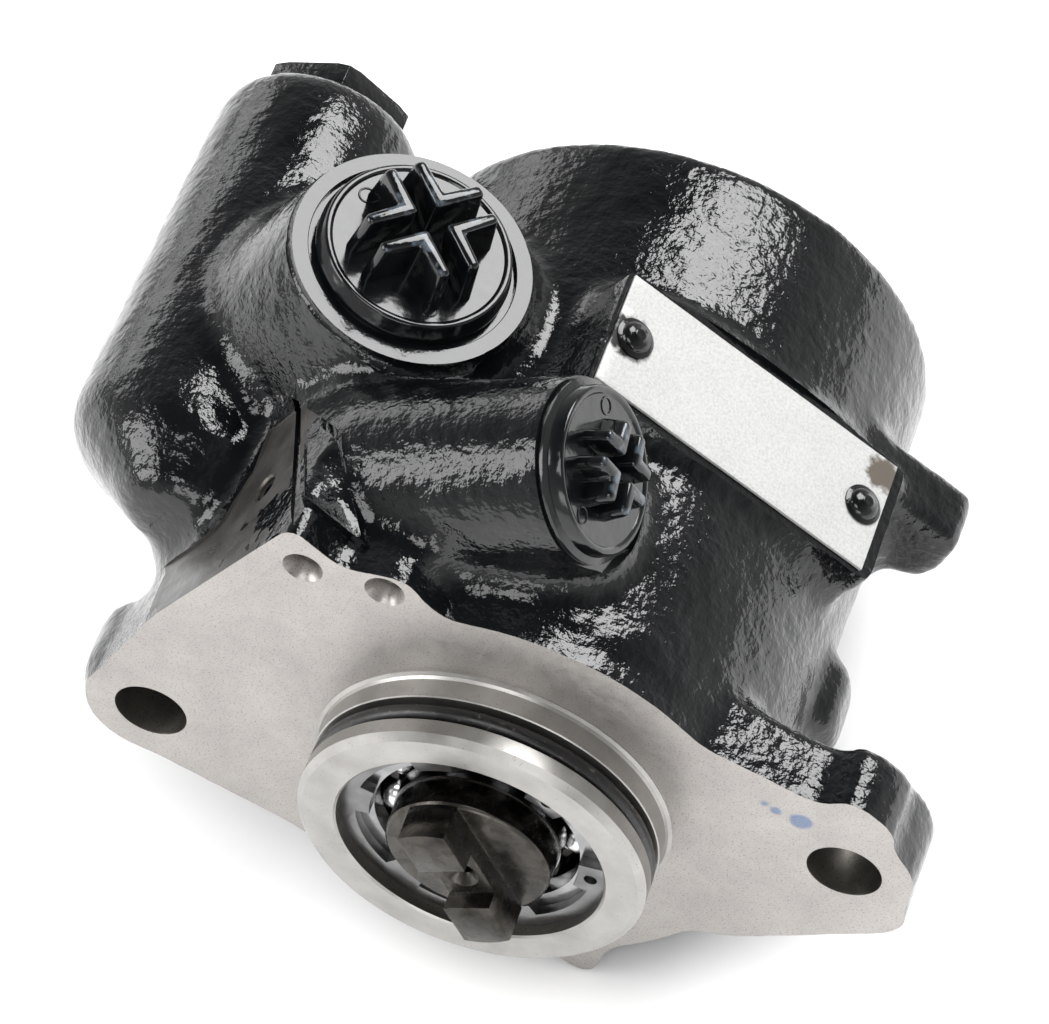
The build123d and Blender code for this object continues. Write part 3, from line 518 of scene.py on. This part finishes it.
def plain_metal(name, light, dark, rough, grain=1.2, depth=0.01, stain="#ffffff"):
    """A metal with a soft tone change, a fine grain and, where given, blotches of a stain."""
    mat, at = blank_finish(name)
    tone = add(mat, "TexNoise", {"Vector": at, "Scale": per(5.0), "Detail": 4.0})
    fine = add(mat, "TexNoise", {"Vector": at, "Scale": per(grain), "Detail": 3.0})
    blotch = add(mat, "TexNoise", {"Vector": at, "Scale": per(3.2), "Detail": 5.0, "Roughness": 0.65,
                                   "Distortion": 0.6})
    base = add(mat, "ValToRGB", {"Fac": tone}, [(0.3, linear(dark)), (0.7, linear(light))])
    stains = add(mat, "ValToRGB", {"Fac": blotch}, [(0.5, grey(1.0)), (0.72, linear(stain))])
    colour = add(mat, "MixRGB", {"Fac": 1.0, "Color1": base, "Color2": stains}, blend_type="MULTIPLY")
    gloss = add(mat, "ValToRGB", {"Fac": blotch}, [(0.3, grey(rough * 0.75)), (0.7, grey(rough * 1.3))])
    normal = add(mat, "Bump", {"Height": fine, "Distance": depth * MM})
    shader = add(mat, "BsdfPrincipled", {"Base Color": colour, "Roughness": gloss, "Metallic": 1.0,
                                         "Normal": normal})
    add(mat, "OutputMaterial", {"Surface": shader})
    return mat


def nitrile():
    """Moulded nitrile rubber: satin black with flecks of dust and lint."""
    mat, at = blank_finish("nitrile_rubber")
    lint = add(mat, "TexNoise", {"Vector": at, "Scale": per(1.1), "Detail": 5.0, "Roughness": 0.7})
    soft = add(mat, "TexNoise", {"Vector": at, "Scale": per(2.0), "Detail": 3.0})
    colour = add(mat, "ValToRGB", {"Fac": lint}, [(0.6, linear("#0c0c0d")), (0.76, linear("#5d564c"))])
    gloss = add(mat, "ValToRGB", {"Fac": soft}, [(0.3, grey(0.26)), (0.7, grey(0.45))])
    normal = add(mat, "Bump", {"Height": lint, "Distance": 0.03 * MM})
    shader = add(mat, "BsdfPrincipled", {"Base Color": colour, "Roughness": gloss, "IOR": 1.52,
                                         "Normal": normal})
    add(mat, "OutputMaterial", {"Surface": shader})
    return mat


def moulded_plastic(name, place, top):
    """Injection-moulded black polyethylene: glossy and gently wavy from shrinkage, with a painted highlight
    in pale blue-grey blotches near the grips' tops."""
    mat, at = blank_finish(name)
    up = place.to_3x3() @ Vector((0, 0, 1))
    crest = up.dot(place.translation) + top * MM
    wave = add(mat, "TexNoise", {"Vector": at, "Scale": per(4.5), "Detail": 2.0})
    fine = add(mat, "TexNoise", {"Vector": at, "Scale": per(0.8), "Detail": 2.0})
    mottle = add(mat, "TexNoise", {"Vector": at, "Scale": per(3.0), "Detail": 3.0})
    height = add(mat, "VectorMath", {0: at, 1: up}, gives="Value", operation="DOT_PRODUCT")
    near_top = add(mat, "MapRange", {"Value": height, "From Min": crest - 0.8 * MM,
                                     "From Max": crest - 0.1 * MM})
    some = add(mat, "ValToRGB", {"Fac": mottle}, [(0.52, grey(0.0)), (0.64, grey(0.4))])
    # a painted highlight: pale blue-grey in blotches near the grips' tops
    painted_top_highlight = add(mat, "Math", {0: near_top, 1: some}, operation="MULTIPLY")
    base = add(mat, "ValToRGB", {"Fac": wave}, [(0.3, linear("#060708")), (0.75, linear("#0f1012"))])
    colour = add(mat, "MixRGB", {"Fac": painted_top_highlight, "Color1": base, "Color2": linear("#6c7884")})
    disc = crest - (top - plug_proud) * MM
    above_disc = add(mat, "MapRange", {"Value": height, "From Min": disc, "From Max": disc + 2.0 * MM,
                                       "To Min": 0.07, "To Max": 0.04})
    gloss = add(mat, "Math", {0: mottle, 1: 0.12, 2: above_disc}, operation="MULTIPLY_ADD")
    normal = add(mat, "Bump", {"Height": wave, "Distance": 0.14 * MM})
    normal = add(mat, "Bump", {"Height": fine, "Distance": 0.01 * MM, "Normal": normal})
    shader = add(mat, "BsdfPrincipled", {"Base Color": colour, "Roughness": gloss, "IOR": 1.51,
                                         "Normal": normal})
    add(mat, "OutputMaterial", {"Surface": shader})
    return mat


def plate_aluminium(smears):
    """Thin anodised aluminium sheet, nearly white, with a fine rolled grain, slight dents and enamel
    smears."""
    mat, at = blank_finish("anodised_aluminium_sheet")
    rolled = add(mat, "TexNoise", {"Vector": at, "Scale": per(0.5), "Detail": 3.0, "Roughness": 0.7})
    dent = add(mat, "TexNoise", {"Vector": at, "Scale": per(5.0), "Detail": 3.0})
    colour = add(mat, "ValToRGB", {"Fac": rolled}, [(0.3, linear("#a9a9a7")), (0.6, linear("#bfbfbe"))])
    for centre, radius, tint in smears:
        mask = spot(mat, at, centre, radius - 1.4, radius, 4.5)
        colour = add(mat, "MixRGB", {"Fac": mask, "Color1": colour, "Color2": linear(tint)})
    gloss = add(mat, "ValToRGB", {"Fac": dent}, [(0.3, grey(0.4)), (0.7, grey(0.52))])
    normal = add(mat, "Bump", {"Height": dent, "Distance": 0.06 * MM})
    normal = add(mat, "Bump", {"Height": rolled, "Distance": 0.012 * MM, "Normal": normal})
    shader = add(mat, "BsdfPrincipled", {"Base Color": colour, "Roughness": gloss, "Metallic": 0.3,
                                         "Normal": normal})
    add(mat, "OutputMaterial", {"Surface": shader})
    return mat


ink_dabs = [((50.7, 0, 15.2), 1.1), ((52.6, 0, 13.9), 1.4), ((57.2, 0, 12.2), 2.4)]
paint_smears = [((8.6, 61.8, 56.9), 5.0, "#0b0b0c"), ((52.3, 71.0, 22.0), 4.2, "#5d564e")]
ENAMEL = cast_enamel()
FLAT_ENAMEL = flat_enamel("thin_enamel_on_milled_flat", "#363432", "#272625", 0.26, 0.1)
PORT_ENAMEL = flat_enamel("enamel_on_turned_port_face", "#111214", "#08090a", 0.08, 0.04)
FACE_IRON = milled_iron("milled_grey_iron", "#afaba7", "#a09c99", 0.42, ink_dabs)
# the bores' iron is the milled iron painted much darker: painted shade inside the holes and bores
SHADED_BORE_IRON = milled_iron("bored_grey_iron_with_painted_shade", "#64605b", "#454340", 0.4)
TURNED_IRON = turned_iron()
SHAFT_STEEL = plain_metal("oiled_hardened_steel", "#504d49", "#32302e", 0.26, 2.0, 0.02, "#b5aa9a")
KEEPER_STEEL = plain_metal("phosphated_spring_steel", "#858585", "#6c6c6c", 0.36, 0.8)
# the plugging balls' steel is painted darker: painted shade for balls sunk in their drillings
SHADED_BALL_STEEL = plain_metal("steel_ball_darkened_as_painted_shade", "#7f7c78", "#55524e", 0.14, 0.9, 0.06)
BALL_STEEL = plain_metal("polished_bearing_steel", "#dcdcdc", "#c4c4c4", 0.15, 4.0, 0.001)
RING_STEEL = plain_metal("ground_bearing_steel", "#a9a9aa", "#8a8a8b", 0.2)
DARK_STEEL = plain_metal("sintered_steel", "#6d6b68", "#4b4946", 0.4)
COVER_STEEL = plain_metal("oil_blackened_steel", "#4a4a4b", "#2f2f30", 0.36, 1.0, 0.02)
SPRING_STEEL = plain_metal("spring_steel", "#8d8d8f", "#6c6c6e", 0.3)
BRONZE = plain_metal("sintered_bronze", "#b98f56", "#93703f", 0.4)
RIVET = flat_enamel("enamel_on_domed_rivet", "#0d0e0f", "#060607", 0.1, 0.05)
RUBBER = nitrile()
PLATE = plate_aluminium(paint_smears)


# The cast housing

def flange_blanks():
    """The flange before its face is milled: it stands proud of the face, and the cutter takes that off."""
    proud = -3.0
    made = [lathe("flange_middle", [(46.0, proud), (46.6, 2.0), (46.6, flange_depth)], DRIVE)]
    high = [(48.2 * math.cos(math.radians(a)), 48.2 * math.sin(math.radians(a))) for a in range(0, 181, 4)]
    made.append(front_slab("flange_high", high, proud, flange_depth))
    for x, flare in ((-bolt_x, 1.8), (bolt_x, 0.6)):
        ear = [(ear_r, proud), (ear_r + 0.2, 0.2), (ear_r + flare, 4.0), (ear_r + flare, ear_depth)]
        made.append(lathe("ear", ear, shifted(DRIVE, x, 0)))
    left = [(-72.2, 12.6), (-56.0, 37.8), (-54.2, 40.0), (-53.0, 40.3), side_high, (-33.0, 63.9),
            (-31.4, 63.2), (-25.6, 57.2), (-23.4, 56.3), (-17.4, 56.7), (-13.2, 56.6), (-11.4, 55.3),
            (-9.6, 51.0), (-5.2, 47.9), (0, 0), (-38.5, -26.6), (-71.0, -10.4)]
    right = [(38.8, 28.4), (61.0, 18.2), (62.4, 18.6), (64.2, 20.9), (66.8, 20.9), (70.4, 18.9),
             (73.1, 15.8), (74.3, 13.2), (73.6, 10.6), (76.0, 5.6), (76.2, -11.0), (75.4, -13.4),
             (72.6, -16.2), (45.4, -28.3), (41.2, -29.5), (36.2, -29.4), (26.0, -36.0), (0, 0)]
    nub = [(5.0, -46.0), (10.5, -49.4), (14.6, -52.2), (17.2, -50.4), (21.0, -40.0)]
    made.append(front_slab("flange_left", left, proud, flange_depth))
    made.append(front_slab("flange_right", right, proud, flange_depth))
    made.append(front_slab("flange_nub", nub, proud, flange_depth))
    return made


def valve_blank(grown=0.0):
    """The valve body, as cast or grown all over by some millimetres. Its nose leans along the flange's
    side."""
    outline = [(4.5, 17.5, 8.0), (8.0, 18.4, 8.3), (10.2, 20.0, 8.4), (13.0, 24.0, 6.6), (17.0, 29.0, 5.0),
               (19.7, 33.0, 2.6), (21.3, 36.8, 0.6), (21.8, 40.0, 0.0), (20.2, 111.5), (19.7, 115.0),
               (18.4, 117.2), (16.6, valve_end)]
    turn = Matrix.Rotation(math.radians(-90) - slope, 4, "Z")
    middle = (outline[0][1] + outline[-1][1]) / 2
    grown_outline = [(s[0] + grown, s[1] + math.copysign(grown, s[1] - middle), *s[2:]) for s in outline]
    return lathe("valve_body", grown_outline, VALVE @ turn)


def suction_blank(grown=0.0):
    """The suction port's boss, wide at its root."""
    boss = [(31.0 + grown, -42.0, -4.5), (22.3 + grown, 0.0, 0.0), (21.7 + grown, 3.0, 0.0)]
    return lathe("suction_boss", boss, INLET)


def body_blanks():
    """The barrel, the valve body, the port bosses, the plate's pad and the lugs, as overlapping solids."""
    barrel = [(44.0, 4.0), (48.8, 6.0), (50.2, 103.0), (50.2, 111.5), (49.8, 112.5), (48.7, barrel_end)]
    tail = outlet_depth - 6.0
    boss = [(16.4, 3.0), (16.8, 0), (18.2, -54.0), (14.2, -tail), (10.0, -tail - 10.0), (4.0, -tail - 13.6)]
    made = [lathe("barrel", barrel, DRIVE), valve_blank(), suction_blank()]
    gallery = front_slab("gallery_block", [side_low, side_high, (-26.0, 56.0), (-18.0, 40.0), (-45.0, 5.0),
                                           (-58.0, 2.0), (-66.0, 16.0)], 1, 35.1)
    for part in (lathe("delivery_boss", boss, OUTLET), gallery):
        cut(part, block("side_tool", (-80, -20, 0.3), (20, 90, 60), SIDE))
        made.append(cut(part, block("panel_tool", (-90, -90, 0.6), (90, 90, 60), PANEL)))
    web = [(valve_x, valve_z + 16), (0, 32.8), (0, -16), (valve_x, valve_z - 16)]
    made.append(front_slab("web", web, 36.5, 81))
    made.append(block("pad", (-32.1, -pad_w / 2, -19.2), (33.5, pad_w / 2, 1.5), PAD))
    lug = [(42, 21.9), (65.0, 3.7), (66.2, 1.5), (61.9, -7.0), (58.3, -10.2), (52.0, -9.4), (42, -12.0)]
    made.append(front_slab("lug", lug, 73.0, 85.5))
    small = block("small_lug", (42, 0, 30), (54.4, 15, 47), DRIVE)
    made.append(bevelled(small, 4.0, 2, 60))
    return made


def machining_tools():
    """The cutters, in the order of use, each with the finish that it leaves."""
    groove_front, groove_rear = cover_groove
    bores = [(bearing_r, -20), (bearing_r, bearing_rear), (seal_r, bearing_rear + 0.01), (seal_r, 7.4),
             (circlip_r, 7.41), (circlip_r, 14.4), (front_bush_r, 14.41), (front_bush_r, chamber_front),
             (chamber_r, chamber_front + 0.01), (chamber_r, groove_front),
             (cover_groove_r, groove_front + 0.01), (cover_groove_r, groove_rear),
             (chamber_r, groove_rear + 0.01), (chamber_r, 112.2), (41.2, 114.0)]
    valve_bore = [(spool_r, 28.0), (spool_r, thread_front), (11.0, thread_front + 0.01), (11.0, 116.4),
                  (12.9, 116.41), (12.9, 121.0)]
    # the side is milled up to the valve body and the suction boss, and a radius of the cutter short of them
    cutter_r = 4.2
    side_cutter = block("side_cutter", (-43, -30, 0), (8, 60, 40), SIDE)
    for kept in (valve_blank(cutter_r), suction_blank(cutter_r)):
        cut(side_cutter, kept)
    ridge_groove = [(0.2, -43.0), (0.2, -1.0), (-2.4, -1.0), (-1.1, -41.0)]
    # the bores, bolt holes, valve bore and screw hole take the darker iron, which is painted shade
    tools = [(block("face_cutter", (-110, -90, -12), (110, 90, 0), DRIVE), FACE_IRON),
             (side_cutter, FLAT_ENAMEL),
             (prism("ridge_groove", ridge_groove, -1.0, 3.0, PANEL), ENAMEL),
             (lathe("bores", bores, DRIVE), SHADED_BORE_IRON),
             (block("pad_cutter", (-33.5, -14.2, 0), (35.5, 14.2, 8), PAD), ENAMEL),
             (lathe("valve_bore", valve_bore, VALVE), SHADED_BORE_IRON)]
    bolt_hole = [(bolt_hole_r + 0.65, -1), (bolt_hole_r, 0.3), (bolt_hole_r, 14.0), (spot_face_r, 14.99),
                 (spot_face_r, 27.0)]
    for x in (-bolt_x, bolt_x):
        tools.append((lathe("bolt_hole", bolt_hole, shifted(DRIVE, x, 0), 72), SHADED_BORE_IRON))
    for port, face, rim, bore, deep in ((INLET, inlet_cutter_r, inlet_rim_r, inlet_bore_r, 42.0),
                                        (OUTLET, outlet_cutter_r, outlet_rim_r, outlet_bore_r, 30.0)):
        stations = [(bore, -deep), (bore, -1.4), (bore + 0.4, -1.0), (rim, -0.99), (rim, -0.15),
                    (rim + 0.15, 0), (face, 0.01), (face, 9)]
        tools.append((lathe("port_cutter", stations, port), PORT_ENAMEL))
    relief = [(22.2, 3.0), (22.2, -1.0), (22.6, -1.8), (23.6, -2.3), (25.2, -1.6), (26.6, 1.0), (27.0, 3.0)]
    tools.append((lathe("port_relief", relief, INLET, ring=True), ENAMEL))
    gallery = [(countersink_r + 0.2, -0.4), (countersink_r, 0), (ball_plug_r, countersink_depth),
               (ball_plug_r, 12)]
    for x, z in (left_gallery, right_gallery):
        tools.append((lathe("gallery", gallery, shifted(DRIVE, x, -z), 48), FACE_IRON))
    screw = [(screw_hole_r + 0.7, 0.3), (screw_hole_r, -0.4), (screw_hole_r, -14)]
    tools.append((lathe("screw_hole", screw, shifted(SIDE, *screw_hole), 48), SHADED_BORE_IRON))
    return tools


def make_housing():
    """The whole casting: the blanks as one skin, its raised panel, and what the machines take off."""
    finishes = [ENAMEL, FACE_IRON, FLAT_ENAMEL, SHADED_BORE_IRON, PORT_ENAMEL]
    fillet = 3.2
    wave_height = 0.4
    grain_height = 0.3
    panel_depth = 9.0
    body = joined("cast_housing", flange_blanks() + body_blanks())
    remeshed(body, 1.3)
    # sand castings have a radius in every inside corner: grow, skin again, shrink
    modify(body, "DISPLACE", strength=fillet * MM, mid_level=0.0)
    remeshed(body, 1.2)
    modify(body, "DISPLACE", strength=-fillet * MM, mid_level=0.0)
    remeshed(body, 1.1)
    modify(body, "SMOOTH", factor=0.5, iterations=3)
    modify(body, "DISPLACE", strength=wave_height * MM, mid_level=0.5, texture=clouds("cast_waves", 11.0, 1),
           texture_coords="LOCAL")
    modify(body, "DISPLACE", strength=grain_height * MM, mid_level=0.5, texture=clouds("cast_grain", 2.2, 2),
           texture_coords="LOCAL")
    corners = [(-1.9, -39.0, 1.6), (-3.4, -5.0, 1.4), (-6.4, -2.8, -11.7), (-10.6, -20.0, 1.6)]
    panel = patch("raised_panel", corners, panel_depth, PANEL)
    cut(panel, block("side_tool", (-90, -60, 0), (60, 120, 60), SIDE))
    fuse(body, bevelled(panel, 0.7, 3))
    body.data.materials.clear()
    for finish in finishes:
        body.data.materials.append(finish)
    for tool, finish in machining_tools():
        tool.data.materials.clear()
        for slot_finish in finishes:
            tool.data.materials.append(slot_finish)
        for face in tool.data.polygons:
            face.material_index = finishes.index(finish)
        cut(body, tool)
    smooth(body, 40)
    return dressed_up(body, None, "housing", "black_paint", "housing")


def make_spigot():
    """The turned pilot with its ring groove, its chamfers and the bearing's bore."""
    keeper_front = bearing_front - 2.0
    groove_front, groove_rear = pilot_groove
    edge = 0.2
    profile = [(bearing_r, bearing_front), (keeper_groove_r, bearing_front), (keeper_groove_r, keeper_front),
               (bearing_r, keeper_front), (bearing_r, -13.6), (bearing_r + 0.4, -pilot_len),
               (pilot_r - 1.3, -pilot_len), (pilot_r, -12.7), (pilot_r, groove_front - edge),
               (pilot_r - edge, groove_front),
               (pilot_groove_r, groove_front), (pilot_groove_r, groove_rear), (pilot_r - edge, groove_rear),
               (pilot_r, groove_rear + edge), (pilot_r, -1.0), (pilot_r + 0.3, -0.45), (pilot_r + 1.0, -0.15),
               (pilot_r + 1.0, 0.3), (bearing_r, 0.3)]
    spigot = smooth(lathe("pilot_spigot", profile, DRIVE, 160, ring=True), 20)
    dressed_up(spigot, TURNED_IRON, "housing", "machined_iron", "housing")
    # the bearing's bore and the keeper ring's groove take the darker iron, which is painted shade
    spigot.data.materials.append(SHADED_BORE_IRON)
    for face in spigot.data.polygons:
        reach = Vector((face.center.x, 0, face.center.z)).length
        in_groove = reach < (keeper_groove_r + 0.1) * MM and face.center.y > (keeper_front - 0.1) * MM
        if reach < (bearing_r + 0.1) * MM or in_groove:
            face.material_index = 1


make_housing()
make_spigot()


# Pieces that show

def grip(name, place, arm, slot, height, turn):
    """One L-shaped wall of a transit plug's cross grip, its corner towards the middle, its ends sloping."""
    wall = 2.6
    drawn_in = 0.87
    near = slot / 2
    far = near + arm
    outline = [(near, near), (far, near), (far, near + wall), (near + wall, near + wall), (near + wall, far),
               (near, far)]
    obj = prism(name, outline, plug_proud - 1.2, plug_proud + height, Matrix())
    bpy.ops.object.mode_set(mode="EDIT")
    pick(obj, lambda v: v.co.z > plug_proud * MM and max(v.co.x, v.co.y) > (far - 0.01) * MM)
    bpy.ops.transform.resize(value=(drawn_in, drawn_in, 1), center_override=(near * MM, near * MM, 0))
    bpy.ops.object.mode_set(mode="OBJECT")
    bevelled(obj, 0.85, 3)
    return settle(obj, place @ Matrix.Rotation(math.radians(turn), 4, "Z"))


def make_transit_plug(node, body, port, brim_r, disc_r, stem_r, arm, slot, height, turn):
    """A moulded port plug: a stepped disc with a brim and a raised rim, a stem, ejector marks and four
    grips."""
    low = -0.2
    floor = plug_proud - 0.4
    profile = [(stem_r - 1.8, low - 11.9), (stem_r - 0.5, low - 12.0), (stem_r, low - 11.4), (stem_r, low),
               (disc_r - 0.3, low), (disc_r - 0.1, 0.1), (brim_r - 0.1, 0.12), (brim_r, 0.3), (brim_r, 1.2),
               (disc_r - 0.2, 1.7), (disc_r - 0.45, floor), (disc_r - 0.7, plug_proud - 0.08),
               (disc_r - 1.0, plug_proud), (disc_r - 1.4, plug_proud), (disc_r - 1.7, plug_proud - 0.12),
               (disc_r - 2.0, floor), (disc_r - 6.0, floor), (1.0, floor)]
    plug = lathe(node + "_moulding", profile, port, 120)
    mark = [(1.3, floor - 0.4), (1.35, floor + 0.15), (1.45, floor + 0.2), (1.6, floor + 0.2),
            (1.7, floor + 0.12), (1.75, floor - 0.4)]
    mark_reach = 0.74 * disc_r
    for angle in (-18, 92, 200):
        x = mark_reach * math.cos(math.radians(turn + angle))
        y = mark_reach * math.sin(math.radians(turn + angle))
        fuse(plug, lathe("ejector_mark", mark, shifted(port, x, y), 32, ring=True))
    for i in range(4):
        fuse(plug, grip("grip", port, arm, slot, height, turn + 90 * i))
    smooth(plug, 40)
    plastic = moulded_plastic("moulded_black_polyethylene_" + body, port, plug_proud + height)
    dressed_up(plug, plastic, body, "black_plastic", node)


def make_rivets():
    """Two drive rivets with a wide brim, a dome and a flat pip, all brushed over with enamel."""
    profile = [(1.5, -5.1), (1.6, -4.8), (1.6, 0.7), (3.7, 0.8), (3.9, 0.95), (3.85, 1.15), (3.5, 1.3),
               (3.05, 1.42), (2.95, 1.7), (2.6, 2.15), (2.0, 2.5), (1.3, 2.68), (1.15, 2.82), (1.0, 2.88),
               (0.6, 2.88), (0.3, 2.84)]
    both = joined("drive_rivets", [lathe("rivet", profile, shifted(PAD, s * rivet_spacing / 2, 0), 48)
                                   for s in (-1, 1)])
    dressed_up(smooth(both, 50), RIVET, "housing", "black_rivet", "name_plate_rivets")


def make_plate():
    """The bare name plate, cut from thin sheet, a little wavy from being riveted to a cast pad."""
    half_l = plate_len / 2
    half_w = plate_w / 2
    plate = bevelled(block("plate", (-half_l, -half_w, 0.1), (half_l, half_w, plate_t), PAD), 0.12, 2)
    bpy.ops.object.mode_set(mode="EDIT")
    bpy.ops.mesh.select_all(action="SELECT")
    bpy.ops.mesh.subdivide(number_cuts=24)
    bpy.ops.object.mode_set(mode="OBJECT")
    modify(plate, "DISPLACE", strength=0.16 * MM, mid_level=0.5, texture=clouds("sheet_waves", 14.0, 1),
           texture_coords="LOCAL")
    dressed_up(smooth(plate, 30), PLATE, "housing", "plain_plate", "name_plate")


def make_softened(name, node, width, finish, body, slot):
    """A turned or stamped piece with its sharp edges broken."""
    obj = copy_of(node, name)
    dressed_up(bevelled(obj, width, 2, 35), finish, body, slot, node)


def make_cage():
    """The bearing's cage, open towards the front, where the balls show between the ring's lugs."""
    cage = copy_of("bearing_cage", "snap_cage")
    low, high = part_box("bearing_cage")
    middle = (low.y + high.y) / 2 / MM
    cut(cage, lathe("opening", [(27.0, middle - 20.0), (27.0, middle - 0.8)], DRIVE))
    dressed_up(smooth(cage), DARK_STEEL, "cage", "dark_steel", "bearing_cage")


def make_spring(name, node, body):
    """A coil spring copied from its CAD node, with its finish, its body and a mesh of its own."""
    spring = dressed_up(smooth(copy_of(node, name)), SPRING_STEEL, body, "spring_steel", node)
    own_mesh(spring)


make_transit_plug("inlet_transit_plug", "inlet_plug", INLET, brim_r=18.0, disc_r=17.8, stem_r=10.9, arm=11.2,
                  slot=3.7, height=9.0, turn=45.0)
make_transit_plug("outlet_transit_plug", "outlet_plug", OUTLET, brim_r=16.2, disc_r=15.2, stem_r=8.2, arm=7.2,
                  slot=2.7, height=4.6, turn=12.0)
make_rivets()
make_plate()
make_cage()
make_spring("valve_spring", "spool_spring", "housing")
make_spring("ball_spring", "relief_spring", "spool")
make_softened("hexagon_plug", "valve_plug", 0.45, ENAMEL, "housing", "black_paint")
make_softened("keeper_ring", "bearing_retaining_ring", 0.15, KEEPER_STEEL, "housing", "dark_steel")
make_softened("tanged_shaft", "drive_shaft", 0.3, SHAFT_STEEL, "shaft", "dark_steel")


# Finishes of the pieces that keep their shape

def dress(finish, *names):
    """Gives CAD nodes their finish."""
    for name in names:
        mats = nodes[name].data.materials
        if len(mats) == 0:
            mats.append(finish)
        for i in range(len(mats)):
            mats[i] = finish


dress(RING_STEEL, "bearing_outer_ring", "bearing_inner_ring")
dress(BALL_STEEL, "bearing_balls", "relief_ball")
# the plugging balls take the darkened steel, which is painted shade
dress(SHADED_BALL_STEEL, "ball_plugs")
dress(DARK_STEEL, "front_port_plate", "rear_port_plate", "cam_ring", "rotor", "flow_control_spool",
      "relief_seat", "shaft_seal_case", "locating_pins")
dress(COVER_STEEL, "rear_cover", "gallery_screw")
dress(SPRING_STEEL, "seal_garter_spring", "plate_spring", "shaft_circlip",
      "rear_cover_ring", *[f"vane_{i}" for i in range(1, 11)])
dress(RUBBER, "shaft_seal_lip", "front_plate_o_ring", "rear_plate_o_ring", "rear_cover_o_ring",
      "valve_plug_seal", "inlet_plug_gasket", "outlet_plug_gasket", "pilot_o_ring")
dress(BRONZE, "front_bush", "rear_bush")


# Floor, light and camera

def make_floor():
    """A plain pale studio floor under the pump's lowest piece."""
    low = min(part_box(n)[0].z for n in nodes)
    bpy.ops.mesh.primitive_plane_add(size=6.0, location=(0, 0, low))
    floor = named("floor")
    bpy.ops.object.transform_apply(location=True, rotation=True, scale=True)
    mat = blank_finish("pale_studio_floor")[0]
    shader = add(mat, "BsdfPrincipled", {"Base Color": linear("#f4f4f4"), "Roughness": 0.9})
    add(mat, "OutputMaterial", {"Surface": shader})
    floor.data.materials.append(mat)


def softbox(name, direction, distance, width, height, power, mirrored=True):
    """A rectangular light in a direction from the pump, facing it, that gloss may mirror or not."""
    d = Vector(direction).normalized()
    data = bpy.data.lights.new(name, "AREA")
    data.shape = "RECTANGLE"
    data.size = width
    data.size_y = height
    data.energy = power
    lamp = bpy.data.objects.new(name, data)
    bpy.context.scene.collection.objects.link(lamp)
    lamp.location = d * distance + Vector((0, 0.05, 0))
    lamp.rotation_euler = (-d).to_track_quat("-Z", "Y").to_euler()
    lamp.visible_glossy = mirrored


def make_light():
    """A big soft key behind the pump that gloss mirrors, lower fills round it, a wide ceiling for the floor,
    and a world that is pale near the ground and dark overhead."""
    world = bpy.data.worlds.new("studio")
    bpy.context.scene.world = world
    world.use_nodes = True
    world.node_tree.nodes.clear()
    ray = add(world, "TexCoord", gives="Generated")
    height = add(world, "SeparateXYZ", {"Vector": ray}, gives="Z")
    fade = add(world, "MapRange", {"Value": height, "From Min": 0.1, "From Max": 0.9, "To Min": 0.75,
                                   "To Max": 0.06})
    sky = add(world, "Background", {"Color": grey(1.0), "Strength": fade})
    add(world, "OutputWorld", {"Surface": sky})
    softbox("key", (0.3, 0.58, 0.75), 1.1, 0.55, 0.5, 9.8)
    softbox("left", (-0.8, -0.36, 0.48), 1.2, 0.5, 0.8, 7.4)
    softbox("front", (0.2, -0.9, 0.35), 1.4, 0.9, 0.4, 4)
    softbox("beside_camera", (0.0, -0.52, 0.85), 1.3, 0.6, 0.5, 4.4)
    softbox("left_behind", (-0.8, 0.55, 0.25), 1.4, 0.8, 0.5, 2.2)
    softbox("ceiling", (0.1, -0.15, 1.0), 2.4, 2.8, 2.8, 72, mirrored=False)


def make_camera():
    """The photograph's view: a long lens from the right, above and in front."""
    focal_px = 5858.9
    photo_width = 1049
    right = Vector((0.952483383, 0.301212389, -0.045238273))
    down = Vector((0.210340471, -0.757880289, -0.617555143))
    ahead = Vector((-0.220300455, 0.578695572, -0.785225537))
    data = bpy.data.cameras.new("camera")
    data.sensor_width = 36.0
    data.lens = focal_px / photo_width * data.sensor_width
    data.clip_start = 0.05
    cam = bpy.data.objects.new("camera", data)
    bpy.context.scene.collection.objects.link(cam)
    cam.matrix_world = axes(right, -down, -ahead, (225.204, -565.487, 850.946))
    bpy.context.scene.camera = cam


make_floor()
make_light()
make_camera()
bpy.context.scene.view_settings.view_transform = "Standard"
